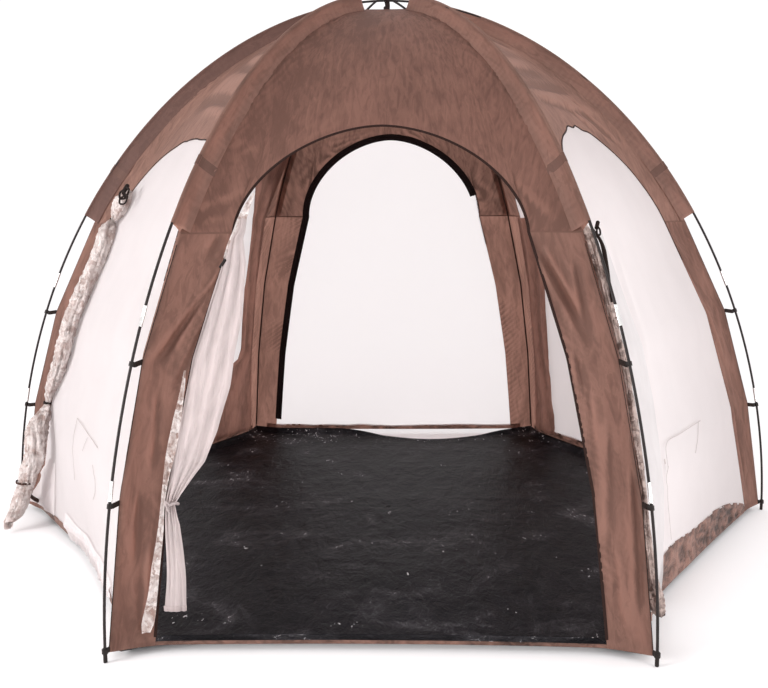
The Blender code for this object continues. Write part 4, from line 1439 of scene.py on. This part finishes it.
def floor():
    side, part = np.divmod(np.arange(FLOOR_SPOKES), FLOOR_SPOKES // 6)
    level = np.full(FLOOR_SPOKES, HEM_BOTTOM)
    along = (2 * part / (FLOOR_SPOKES // 6) - 1) * half_side(level)
    edge = np.zeros((FLOOR_SPOKES, 3))
    for number, azimuth in enumerate((30, 90, 150, 210, 270, 330)):
        signed = azimuth if azimuth in SIDE_SLACK else azimuth - 360
        own = side == number
        if azimuth == 270:
            in_door = eased((opening_half(HEM_BOTTOM) + 0.02 - np.abs(along[own])) / 0.05)
            level[own] = HEM_BOTTOM + (SILL_LAP - HEM_BOTTOM) * in_door
        edge[own] = skin(along[own], level[own], -0.0015, signed)
    reach = np.clip(np.abs(edge[:, 0] - BACK_SLACK_CENTRE) / BACK_SLACK_HALF, 0, 1)
    drawn_in = np.where(edge[:, 1] > 1.4, 0.5 + 0.5 * np.cos(math.pi * reach), 0.0)
    edge[:, 1] -= BACK_SLACK * drawn_in
    grids = []
    for wrinkled in (0.0, 1.0):
        rows = []
        for ring in np.linspace(0.004, 1, FLOOR_RINGS):
            x, y = edge[:, 0] * ring, edge[:, 1] * ring
            lift = eased((ring - FLOOR_FLAT) / (1 - FLOOR_FLAT)) * (1 - 0.75 * np.clip(2 * drawn_in, 0, 1))
            waves = 0.0042 + 0.0040 * rough(x * 2.2, y * 2.2, 71)
            waves = waves + 0.0050 * (creased(x * 6.0 + 2 * noise(x, y, 90), y * 3.2, 75, 3) - 0.45)
            waves = waves + 0.0030 * (creased(x * 18 + noise(x * 3, y * 3, 95), y * 11, 85, 2) - 0.45)
            calm = eased((1 - ring) / 0.02)
            z = 0.0035 + wrinkled * np.clip(waves, -0.002, 0.014) * calm + lift * (level + 0.002)
            rows.append(np.stack([x, y, z], axis=-1))
        grids.append(np.array(rows))
    smooth, points = grids
    shape = grid_shape(points, points[..., :2], closed=True)
    made = piece("floor", [shape], FLOOR, ["floor_sheet"], CLOTH_THICK)


def cut_area(points):
    diagonals = np.cross(points[1:, 1:] - points[:-1, :-1], points[1:, :-1] - points[:-1, 1:])
    return float(np.linalg.norm(diagonals, axis=-1).sum() / 2)


# Poles, ferrules and tips


def poles():
    for name, (azimuth, lift) in HOOPS.items():
        low = pole_angle(FERRULE_TOPS[0])
        angle = np.concatenate([np.linspace(low, math.pi / 2, 90)])
        radius, height = pole_point(angle)
        height = height + lift_at(radius, lift)
        half = np.stack([radius, np.zeros_like(radius), height], axis=-1)
        other = half[-2::-1] * (-1, 1, 1)
        points = turned(np.concatenate([half, other]), azimuth)
        piece(f"pole_{name}", [rod_shape(points, POLE_THICK / 2)], ROD, [name], sharp=40)
    for corner, azimuth in CORNERS.items():
        leg_pole(corner, azimuth)


def pole_line(heights, azimuth):
    angle = pole_angle(np.asarray(heights))
    radius = np.where(np.asarray(heights) <= TIP_HEIGHT, FOOT_RADIUS, pole_point(angle)[0])
    return turned(np.stack([radius, np.zeros_like(radius), np.asarray(heights)], axis=-1), azimuth)


def leg_pole(corner, azimuth):
    rod = rod_shape(pole_line(np.linspace(TIP_HEIGHT - 0.02, FERRULE_TOPS[0] - 0.004, 60), azimuth), POLE_THICK / 2)
    tip_heights = (0.0, 0.0025, TIP_HEIGHT - 0.012, TIP_HEIGHT - 0.008, TIP_HEIGHT - 0.002, TIP_HEIGHT)
    tip_sizes = (0.86, 1.0, 1.0, 1.06, 1.06, 0.9)
    tip = rod_shape(pole_line(tip_heights, azimuth), TIP_THICK / 2, tip_sizes, 16)
    made = piece(f"pole_leg_rod_{corner}", [rod], ROD, [f"pole_leg_{corner}"], sharp=40)
    foot = piece(f"pole_tip_{corner}", [tip], PLASTIC, sharp=40)
    ferrules = []
    for top in FERRULE_TOPS:
        low = top - FERRULE_LENGTH
        heights = (low, low + 0.001, low + 0.004, low + 0.005, top - 0.005, top - 0.004, top - 0.001, top)
        sizes = (0.86, 1.0, 1.0, 0.96, 0.96, 1.0, 1.0, 0.86)
        ferrules.append(rod_shape(pole_line(heights, azimuth), FERRULE_THICK / 2, sizes, 16))
    metal = piece(f"ferrules_{corner}", ferrules, FERRULE, sharp=40)
    return made, foot, metal


# Clips: a webbing tab from the ridge to a plastic hook round the pole


def clip_shapes(height, azimuth):
    angle = pole_angle(height)
    low = height < TIP_HEIGHT
    radius = FOOT_RADIUS if low else pole_point(angle)[0]
    lean_out, lean_up = (1.0, 0.0) if low else pole_lean(angle)
    bore = (TIP_THICK if low else POLE_THICK) / 2 + 0.0006
    axis = np.array([-lean_up, 0, lean_out])
    out = np.array([lean_out, 0, lean_up])
    aside = np.array([0.0, 1.0, 0.0])
    centre = np.array([radius, 0, height])
    tab_from = ridge_radius(np.array(height)) + CLOTH_OUT
    webbing = []
    for shift in (-0.0012, 0.0012):
        start = np.array([tab_from - 0.001, shift * 0.5, height])
        end = centre - out * (bore + 0.010) + aside * shift
        line = start + (end - start) * np.linspace(0, 1, 6)[:, None]
        webbing.append(ribbon_shape(line, np.tile(aside * np.sign(shift), (6, 1)), 0.0095, 0.0012))
    turns = np.radians(np.linspace(-152, 152, 22))
    ring = centre + (out * np.cos(turns)[:, None] + aside * np.sin(turns)[:, None]) * (bore + 0.0016)
    outward = out * np.cos(turns)[:, None] + aside * np.sin(turns)[:, None]
    across = np.tile(axis, (len(turns), 1))
    profile = [(-0.0085, -0.0012), (-0.0085, 0.0012), (-0.007, 0.0016), (0.007, 0.0016), (0.0085, 0.0012), (0.0085, -0.0012)]
    hook = [sweep_shape(ring, across, outward, profile)]
    turn = np.stack([out, aside, axis], axis=-1)
    hook.append(block_shape(centre - out * (bore + 0.0075), (0.011, 0.007, 0.019), 0.0012, turn))
    return [[(turned(p, azimuth), f, c) for p, f, c in shapes] for shapes in (webbing, hook)]


def clips():
    for corner, azimuth in CORNERS.items():
        webbing, hooks = [], []
        for height in CLIP_HEIGHTS:
            tab, hook = clip_shapes(height, azimuth)
            webbing += tab
            hooks += hook
        heights = np.linspace(HEM_BOTTOM, SEAM_HEIGHT - 0.04, 60)
        ridge = np.stack([ridge_radius(heights) + CLOTH_OUT, np.zeros(60), heights], axis=-1)
        webbing.append(rod_shape(turned(ridge, azimuth), 0.0016, sides=8))
        piece(f"clip_webbing_{corner}", webbing, WEBBING, [f"clip_tape_{corner}"], sharp=40)
        piece(f"clip_hooks_{corner}", hooks, PLASTIC, sharp=35)


# Seams and zips


def side_ribbon(along, height, azimuth, half_width, thick, out=CLOTH_OUT, inside=False, scales=None):
    along, height = np.asarray(along, dtype=float), np.asarray(height, dtype=float)
    normal = turned(skin_normal(along, height), azimuth)
    points = skin(along, height, out, azimuth)
    return ribbon_shape(points, -normal if inside else normal, half_width, thick, scales)


def seams():
    """Flat seams outside over the legs and round the crown, and dark seams inside every ridge."""
    shapes = []
    crown = float(np.interp(-CROWN_HOLE, -RIDGE_RADII, RIDGE_HEIGHTS))
    for azimuth in SIDES.values():
        for sign in (-1, 1):
            edge = np.linspace(half_side(SEAM_HEIGHT) - 0.004, opening_half(SEAM_HEIGHT), 24)
            shapes.append(side_ribbon(sign * edge, np.full(24, SEAM_HEIGHT), azimuth, 0.0035, 0.0005))
        ring = np.linspace(-1, 1, 20) * (half_side(crown) - 0.002)
        shapes.append(side_ribbon(ring, np.full(20, crown), azimuth, 0.007, 0.0014))
    piece("seam_tapes", shapes, SEAM_BROWN, sharp=40)
    shapes = []
    heights = np.linspace(0.05, crown - 0.004, 120)
    lean_out, lean_up = pole_lean(ridge_angle(heights))
    for azimuth in CORNERS.values():
        inward = np.stack([-lean_out, np.zeros(120), -lean_up], axis=-1)
        line = np.stack([ridge_radius(heights), np.zeros(120), heights], axis=-1) + inward * 0.0040
        shapes.append(ribbon_shape(turned(line, azimuth), turned(inward, azimuth), 0.0048, 0.0036))
    piece("inner_seams", shapes, DARK_SEAM, sharp=40)


def zips():
    for side, azimuth in SIDES.items():
        low = HEM_TOP if side == "front" else 0.13
        along, height = opening_path(side, low, 0.002)
        if side == "front":
            tape = side_ribbon(along, height, azimuth, 0.0055, 0.0016, CLOTH_OUT - 0.0004)
            coil = side_ribbon(along, height, azimuth, 0.0020, 0.0026, CLOTH_OUT)
            piece("door_zip", [tape, coil], ZIP_TAPE, sharp=40)
            continue
        keep = height > 1.30
        arch = side_ribbon(along[keep], height[keep], azimuth, 0.0036, 0.0016)
        piece(f"window_zip_{side}", [arch], ZIP_TAPE, sharp=40)


def back_zip():
    """A wide dark zip flap inside the back wall: up the left edge seen from the door, and over the arch."""
    along, height = opening_path("back", 0.10, -0.012)
    along, height = along[::-1], height[::-1]
    keep = ~((along < -0.50) & (height < 1.62))
    band = side_ribbon(along[keep], height[keep], SIDES["back"], 0.021, 0.004, -0.0005, inside=True)
    coil = side_ribbon(along[keep], height[keep], SIDES["back"], 0.004, 0.0065, -0.0005, inside=True)
    piece("back_zip", [band, coil], ZIP_BLACK, sharp=40)


# The gathered curtain of the doorway

CURTAIN_LEVELS = (1.52, 1.39, 1.19, 0.95, 0.80, 0.69, 0.61, 0.545, 0.47, 0.34, 0.17)
CURTAIN_WIDTHS = (0.030, 0.085, 0.145, 0.160, 0.150, 0.125, 0.075, 0.036, 0.056, 0.066, 0.085)
CURTAIN_TIE = 0.545
# Soft pleats that run to the tie: place across the cloth, width and depth
CURTAIN_PLEATS = (
    (0.06, 0.050, 0.010),
    (0.17, 0.040, -0.006),
    (0.30, 0.060, 0.009),
    (0.43, 0.045, -0.007),
    (0.58, 0.070, 0.008),
    (0.74, 0.050, -0.006),
    (0.88, 0.060, 0.009),
)


def curtain():
    rows, columns = 210, 150
    height = np.linspace(1.545, 0.158, rows)[:, None]
    levels = np.array(CURTAIN_LEVELS)[::-1]
    wide = np.interp(height, levels, np.array(CURTAIN_WIDTHS)[::-1])
    wide = wide * (1 + 0.07 * noise(height * 5, 0, 2) * eased(np.abs(height - CURTAIN_TIE) / 0.1))
    pinch = np.exp(-(((height - CURTAIN_TIE) / 0.045) ** 2))
    below = eased((CURTAIN_TIE - height) / 0.05)
    top = eased((1.56 - height) / 0.3)
    share = np.linspace(0, 1, columns + 1)[None, :]
    edge = opening_half(np.minimum(height, SEAM_HEIGHT)) + 0.004
    edge = edge - 0.022 * eased((height - 1.47) / 0.06) - 0.028 * eased((CURTAIN_TIE - height) / 0.30)
    slant = 0.42 * (height - CURTAIN_TIE) * (1 - below)
    wander = share + slant * (1 - share) * 0.5 + 0.05 * noise(share * 2.0, height * 2.2, 5)
    depth = 0.0
    for number, (place, spread, deep) in enumerate(CURTAIN_PLEATS):
        shifted = (wander - place) / (spread * (1 + 0.5 * pinch))
        strength = 0.55 + 0.75 * noise(height * 3.0, 0.0, 40 + number)
        depth = depth + deep * strength * np.exp(-(shifted**2))
    depth = depth * (1 - 0.55 * below) * (0.4 + 0.6 * top)
    gather = 0.0045 * pinch * np.sin(share * 34 + 3 * noise(share * 4, 0.0, 51))
    near_tie = np.exp(-np.abs(height - CURTAIN_TIE) / 0.10)
    gather = gather + 0.0035 * near_tie * np.sin(share * 26 + 2 * noise(share * 4, 0.0, 55))
    along = -edge + wide * (0.01 + 0.98 * share)
    crumple = creased(share * 3.2 + height * 3.4, height * 2.6 - share * 2.2, 12, 3) - 0.55
    crumple = crumple + 0.4 * (creased(share * 9 + height * 9, height * 7 - share * 4, 19, 2) - 0.55)
    out = 0.013 + depth + gather + 0.0075 * crumple * top * (1 - 0.5 * below) * (1 - 0.6 * pinch)
    out = out + 0.010 * np.sin(math.pi * share) * (1 - pinch)
    points = skin(along, height, np.maximum(out, 0.006), SIDES["front"])
    relief = (depth + gather + 0.010 * crumple) / 0.008
    shape = grid_shape(points, cloth_places(points))
    cloth = piece("curtain", [shape], CURTAIN_NET, ["door_curtain"], relief=relief)
    return cloth, points


def curtain_trim(cloth, cloth_points):
    azimuth = SIDES["front"]
    edge = float(opening_half(np.array(CURTAIN_TIE)))
    turns = np.linspace(0, 2 * math.pi, 48)
    loop = skin(
        -edge + 0.019 + 0.023 * np.cos(turns),
        CURTAIN_TIE + 0.004 * np.sin(2 * turns),
        0.010 + 0.0165 * np.sin(turns),
        azimuth,
    )
    bow = smooth_line(
        skin(
            np.array([-edge + 0.012, -edge - 0.004, -edge + 0.004, -edge + 0.014]),
            np.array([CURTAIN_TIE, CURTAIN_TIE + 0.012, CURTAIN_TIE - 0.016, CURTAIN_TIE - 0.034]),
            np.array([0.028, 0.030, 0.031, 0.027]),
            azimuth,
        ),
        8,
    )
    shapes = [rod_shape(loop, 0.0048, sides=10), rod_shape(bow, 0.0032, sides=8)]
    tie = piece("curtain_tie", shapes, CURTAIN_NET)
    bottom = cloth_points[-1]
    normal = unit(np.cross(np.gradient(bottom, axis=0), np.tile([0, 0, 1.0], (len(bottom), 1))))
    hem_line = bottom + (0, 0, 0.010)
    band = piece("curtain_hem", [ribbon_shape(hem_line, normal, 0.010, 0.0022)], CURTAIN_NET, sharp=40)
    toggle_at = skin(np.array([-0.588]), np.array([1.385]), 0.010, azimuth)[0]
    lean = np.array([[0.82, 0, 0.57], [0, 1, 0], [-0.57, 0, 0.82]])
    toggle = piece("curtain_toggle", [block_shape(toggle_at, (0.012, 0.012, 0.040), 0.003, lean)], PLASTIC, sharp=40)


# Narrow strips of the door's clear film that stay along the zip beside the curtain
# Each point is (along, height, half width)
DOOR_FILM = (
    (
        (-0.482, 1.640, 0.004),
        (-0.505, 1.590, 0.010),
        (-0.522, 1.545, 0.014),
        (-0.540, 1.500, 0.012),
        (-0.556, 1.455, 0.013),
        (-0.580, 1.405, 0.005),
    ),
    (
        (-0.708, 1.010, 0.003),
        (-0.718, 0.930, 0.007),
        (-0.733, 0.840, 0.012),
        (-0.752, 0.730, 0.014),
        (-0.768, 0.640, 0.009),
        (-0.780, 0.545, 0.006),
        (-0.790, 0.440, 0.009),
        (-0.806, 0.330, 0.012),
        (-0.820, 0.220, 0.014),
        (-0.836, 0.130, 0.018),
        (-0.845, 0.085, 0.012),
    ),
)


def door_film():
    shapes, areas = [], 0.0
    for number, route in enumerate(DOOR_FILM):
        route = smooth_line(route, 14)
        across = np.linspace(-1, 1, 15)[None, :]
        height = route[:, 1:2] + 0 * across
        along = route[:, 0:1] + across * route[:, 2:3] * 1.25
        crumple = 0.007 * (creased(across * 1.1 + height * 9, height * 26, 500 + number, 3) - 0.5)
        out = 0.013 + crumple + 0.005 * np.abs(across)
        points = skin(along, height, out, SIDES["front"])
        shapes.append(grid_shape(points, cloth_places(points)))
        areas += cut_area(points)
    made = piece("door_film", shapes, FILM_STRIP)


# Rolls of clear film tied beside two openings

# Along the side, height, distance of the middle from the skin, and radius
LEFT_TAIL = (
    (-0.670, 0.215, 0.120, 0.018),
    (-0.690, 0.180, 0.115, 0.034),
    (-0.700, 0.140, 0.120, 0.040),
    (-0.690, 0.095, 0.135, 0.034),
    (-0.665, 0.058, 0.155, 0.016),
)
LEFT_ROLL = (
    (-0.500, 1.650, 0.012, 0.010),
    (-0.440, 1.625, 0.030, 0.036),
    (-0.410, 1.585, 0.036, 0.048),
    (-0.440, 1.548, 0.030, 0.038),
    (-0.525, 1.515, 0.016, 0.014),
    (-0.495, 1.485, 0.028, 0.028),
    (-0.450, 1.450, 0.040, 0.044),
    (-0.430, 1.364, 0.042, 0.046),
    (-0.450, 1.269, 0.042, 0.046),
    (-0.470, 1.151, 0.044, 0.050),
    (-0.485, 1.056, 0.046, 0.050),
    (-0.530, 0.954, 0.042, 0.046),
    (-0.545, 0.859, 0.044, 0.048),
    (-0.635, 0.744, 0.038, 0.042),
    (-0.735, 0.638, 0.028, 0.030),
    (-0.766, 0.592, 0.020, 0.018),
    (-0.735, 0.545, 0.040, 0.044),
    (-0.700, 0.500, 0.066, 0.056),
    (-0.640, 0.430, 0.088, 0.068),
    (-0.620, 0.350, 0.100, 0.064),
    (-0.625, 0.270, 0.120, 0.056),
    (-0.640, 0.205, 0.130, 0.044),
    (-0.640, 0.150, 0.145, 0.052),
    (-0.625, 0.100, 0.165, 0.052),
    (-0.605, 0.062, 0.190, 0.046),
    (-0.590, 0.036, 0.215, 0.028),
)
RIGHT_ROLL = (
    (-0.640, 1.540, 0.010, 0.006),
    (-0.644, 1.500, 0.016, 0.020),
    (-0.650, 1.440, 0.024, 0.028),
    (-0.665, 1.340, 0.022, 0.026),
    (-0.690, 1.220, 0.018, 0.022),
    (-0.720, 1.080, 0.016, 0.018),
    (-0.745, 0.930, 0.016, 0.017),
    (-0.775, 0.780, 0.016, 0.018),
    (-0.800, 0.640, 0.014, 0.015),
    (-0.822, 0.520, 0.014, 0.014),
    (-0.835, 0.380, 0.018, 0.018),
    (-0.835, 0.260, 0.026, 0.024),
    (-0.820, 0.180, 0.036, 0.034),
    (-0.800, 0.130, 0.044, 0.030),
    (-0.780, 0.100, 0.050, 0.016),
)
FILM_TURNS = 4
FILM_PER_TURN = 44


def film_roll(side, route, seed, replaces=(), name=None):
    """Film wound loosely round a line: crushed, drawn into lengthwise folds, and flat against the wall."""
    route = smooth_line(route, 11)
    along, height, proud, radius = (route[:, column : column + 1] for column in range(4))
    run = np.concatenate([[0], np.cumsum(np.hypot(np.diff(along[:, 0]), np.diff(height[:, 0])))])[:, None]
    turn = np.linspace(0, 2 * math.pi * FILM_TURNS, FILM_TURNS * FILM_PER_TURN + 1)[None, :]
    wound = 0.45 + 0.55 * turn / turn.max()
    twist = turn + 2.2 * run
    fold_in = creased(np.cos(twist) * 2.1 + 7, np.sin(twist) * 2.1 + run * 2.0, seed, 2)
    crush = creased(np.cos(turn) * 3.0 + 11, np.sin(turn) * 3.0 + run * 16, seed + 4, 3)
    lumps = noise(np.cos(turn) * 0.8 + 4, np.sin(turn) * 0.8 + run * 7, seed + 8)
    size = radius * wound * (1.02 - 0.42 * fold_in + 0.40 * (crush - 0.5) + 0.16 * lumps)
    slope = np.gradient(along[:, 0], run[:, 0])[:, None], np.gradient(height[:, 0], run[:, 0])[:, None]
    sideways = size * np.cos(turn)
    points_along = along + sideways * -slope[1] * 1.05
    points_height = height + sideways * slope[0] * 1.05
    out = np.maximum(proud + size * np.sin(turn), 0.0045 + 0.0010 * wound)
    points_height = np.maximum(points_height, 0.004)
    points = skin(points_along, points_height, out, SIDES[side])
    finish = FILM_BROWN if side == "right_front" else FILM
    finish = FILM_BROWN if name else finish
    made = piece(name or f"film_{side}", [grid_shape(points, cloth_places(points))], finish, replaces)
    return made, cut_area(points), float(run[-1, 0])


def wrap_shape(side, along, height, proud, radius, wide, thick):
    """A band tied round a film roll."""
    azimuth = SIDES[side]
    centre = skin(np.array([along]), np.array([height]), proud, azimuth)[0]
    normal = turned(skin_normal(np.array([along]), np.array([height])), azimuth)[0]
    aside = unit(np.cross((0, 0, 1.0), normal))
    axis = unit(np.cross(normal, aside))
    turns = np.linspace(0, 2 * math.pi, 37)[:-1]
    circle = aside * np.cos(turns)[:, None] + normal * np.sin(turns)[:, None]
    ring = centre + circle * radius
    profile = np.array([(-wide / 2, 0), (-wide / 2, thick), (wide / 2, thick), (wide / 2, 0)])
    points = ring[:, None, :] + axis * profile[None, :, :1] + circle[:, None, :] * profile[None, :, 1:]
    points = np.concatenate([points, points[:1]])
    return grid_shape(points, points[..., :2], closed=True)


def toggle_shapes(side, along, height, out, size, tilt):
    """A cord toggle: a barrel with a short loop of tape through it."""
    turn = np.array([[math.cos(tilt), 0, math.sin(tilt)], [0, 1, 0], [-math.sin(tilt), 0, math.cos(tilt)]])
    at = skin(np.array([along]), np.array([height]), out, SIDES[side])[0]
    barrel = block_shape(at, (size * 0.42, size * 0.42, size), size * 0.12, turn)
    loop_along = along + size * np.array([-0.1, -0.7, -0.3, 0.5, 0.9, 0.2])
    loop_height = height + size * np.array([-0.1, -0.5, -1.0, -0.8, -0.1, 0.1])
    loop = smooth_line(skin(loop_along, loop_height, np.array([1, 1.1, 1, 0.8, 0.9, 1]) * out, SIDES[side]), 8)
    return [barrel, rod_shape(loop, size * 0.11, sides=8)]


def film_pieces():
    left, left_area, left_length = film_roll("left_front", LEFT_ROLL, 31, ["film_roll_left"])
    ties = [
        wrap_shape("left_front", -0.525, 1.515, 0.016, 0.0150, 0.008, 0.0015),
        wrap_shape("left_front", -0.766, 0.592, 0.020, 0.0190, 0.012, 0.0020),
    ]
    strap = smooth_line(
        skin(
            np.array([-0.700, -0.650, -0.640, -0.690, -0.760, -0.800]),
            np.array([0.275, 0.245, 0.205, 0.150, 0.100, 0.075]),
            np.array([0.118, 0.150, 0.150, 0.106, 0.056, 0.020]),
            SIDES["left_front"],
        ),
        8,
    )
    shapes = [rod_shape(strap, 0.0090, np.linspace(0.8, 1.2, len(strap)), sides=8)]
    shapes.append(wrap_shape("left_front", -0.640, 0.222, 0.130, 0.0430, 0.010, 0.0025))
    piece("film_strap_left", shapes, BROWN_TAPE, sharp=40)
    ties += toggle_shapes("left_front", -0.330, 1.640, 0.070, 0.046, 0.6)
    ties += toggle_shapes("left_front", -0.300, 1.610, 0.066, 0.038, -0.5)
    left_ties = piece("film_ties_left", ties, WEBBING, sharp=40)
    tail, tail_area, tail_length = film_roll("left_front", LEFT_TAIL, 38, name="film_tail_left")
    right, right_area, right_length = film_roll("right_front", RIGHT_ROLL, 47, ["film_roll_right"])
    ties = [
        wrap_shape("right_front", -0.822, 0.520, 0.014, 0.0140, 0.010, 0.0015),
        wrap_shape("right_front", -0.780, 0.104, 0.050, 0.0170, 0.012, 0.0020),
    ]
    strap = smooth_line(
        skin(
            np.array([-0.640, -0.655, -0.668, -0.690, -0.700]),
            np.array([1.500, 1.440, 1.380, 1.300, 1.230]),
            np.array([0.040, 0.058, 0.056, 0.046, 0.034]),
            SIDES["right_front"],
        ),
        8,
    )
    ties.append(rod_shape(strap, 0.0060, np.interp(np.linspace(0, 1, len(strap)), (0, 0.4, 1), (0.6, 1.5, 0.5)), sides=8))
    ties += toggle_shapes("right_front", -0.625, 1.500, 0.060, 0.034, 0.2)
    right_ties = piece("film_ties_right", ties, WEBBING, sharp=40)


# The right front door film hangs loose beside its roll; its free edge is (along, height)
VEIL_EDGE = (
    (-0.420, 1.500),
    (-0.430, 1.473),
    (-0.450, 1.105),
    (-0.462, 0.835),
    (-0.530, 0.549),
    (-0.486, 0.265),
    (-0.455, 0.135),
    (-0.455, 0.060),
)


def veil():
    edge = np.array(VEIL_EDGE)[::-1]
    height = np.linspace(0.050, 1.480, 120)[:, None]
    free = np.interp(height, edge[:, 1], edge[:, 0])
    fixed = -opening_half(height) + 0.004
    share = np.linspace(0, 1, 31)[None, :]
    along = fixed + (free - fixed) * share
    bottom = height + 0.055 * (1 - share) * (1 - eased((height - 0.05) / 0.25))
    waves = 0.006 * rough(share * 2.5, height * 2.2, 610) + 0.004 * (creased(share * 5, height * 6, 615, 2) - 0.5)
    out = 0.0105 + (0.004 + waves) * eased(share / 0.15)
    points = skin(along, bottom, np.maximum(out, 0.005), SIDES["right_front"])
    made = piece("door_veil_right", [grid_shape(points, cloth_places(points))], VEIL)


# Crown: the poles' crossing and its webbing tie


def crown():
    top = DOME_HEIGHT + 0.0250 + POLE_THICK / 2
    tie = []
    for turn in (30, 90):
        angle = math.radians(turn)
        aside = np.array([math.cos(angle), math.sin(angle), 0])
        half_tall = (0.0250 + POLE_THICK) / 2 + 0.002
        middle = DOME_HEIGHT + 0.0125
        around = np.linspace(0, 2 * math.pi, 33)
        loop = np.stack([np.cos(around) * 0.013, np.sin(around) * half_tall], axis=-1)
        centres = aside * loop[:, :1] + np.array([0, 0, 1.0]) * loop[:, 1:] + np.array([0, 0, middle])
        outward = unit(aside * np.cos(around)[:, None] + np.array([0, 0, 1.0]) * np.sin(around)[:, None])
        tie.append(ribbon_shape(centres, outward, 0.008, 0.0014))
    drop = np.array([[0.004, 0, DOME_HEIGHT - 0.005], [0.006, 0, DOME_HEIGHT - 0.025], [0.004, 0, DOME_HEIGHT - 0.052]])
    line = smooth_line(drop, 6)
    tie.append(ribbon_shape(line, np.tile([0, -1.0, 0], (len(line), 1)), 0.012, 0.0018))
    tie.append(ribbon_shape(line + (0, 0.004, 0), np.tile([0, 1.0, 0], (len(line), 1)), 0.010, 0.0018))
    tie.append(block_shape((0.002, -0.001, DOME_HEIGHT - 0.036), (0.030, 0.010, 0.016), 0.002))
    piece("crown_webbing", tie, WEBBING, ["crown_tie"], sharp=40)
    return top


for number, (side_name, side_azimuth) in enumerate(SIDES.items()):
    roof_panel(side_name, side_azimuth, 100 + 7 * number)
for number, (corner_name, corner_azimuth) in enumerate(CORNERS.items()):
    corner_leg(corner_name, corner_azimuth, 200 + 11 * number)
    hoop_lift = next(lift for azimuth, lift in HOOPS.values() if (azimuth - corner_azimuth) % 180 == 0)
    sleeve(corner_name, corner_azimuth, hoop_lift, 300 + 13 * number)
for number, (side_name, side_azimuth) in enumerate(SIDES.items()):
    if side_name != "front":
        window_net(side_name, side_azimuth, 400 + 17 * number)
net_creases()
for flap_side, flap_sign, flap_edge in (("left_back", -1, LEFT_FLAP), ("right_back", 1, RIGHT_FLAP)):
    inner_flap(flap_side, flap_sign, flap_edge)
loose_netting()
hem()
floor()
poles()
clips()
seams()
zips()
back_zip()
curtain_trim(*curtain())
door_film()
film_pieces()
veil()
crown()
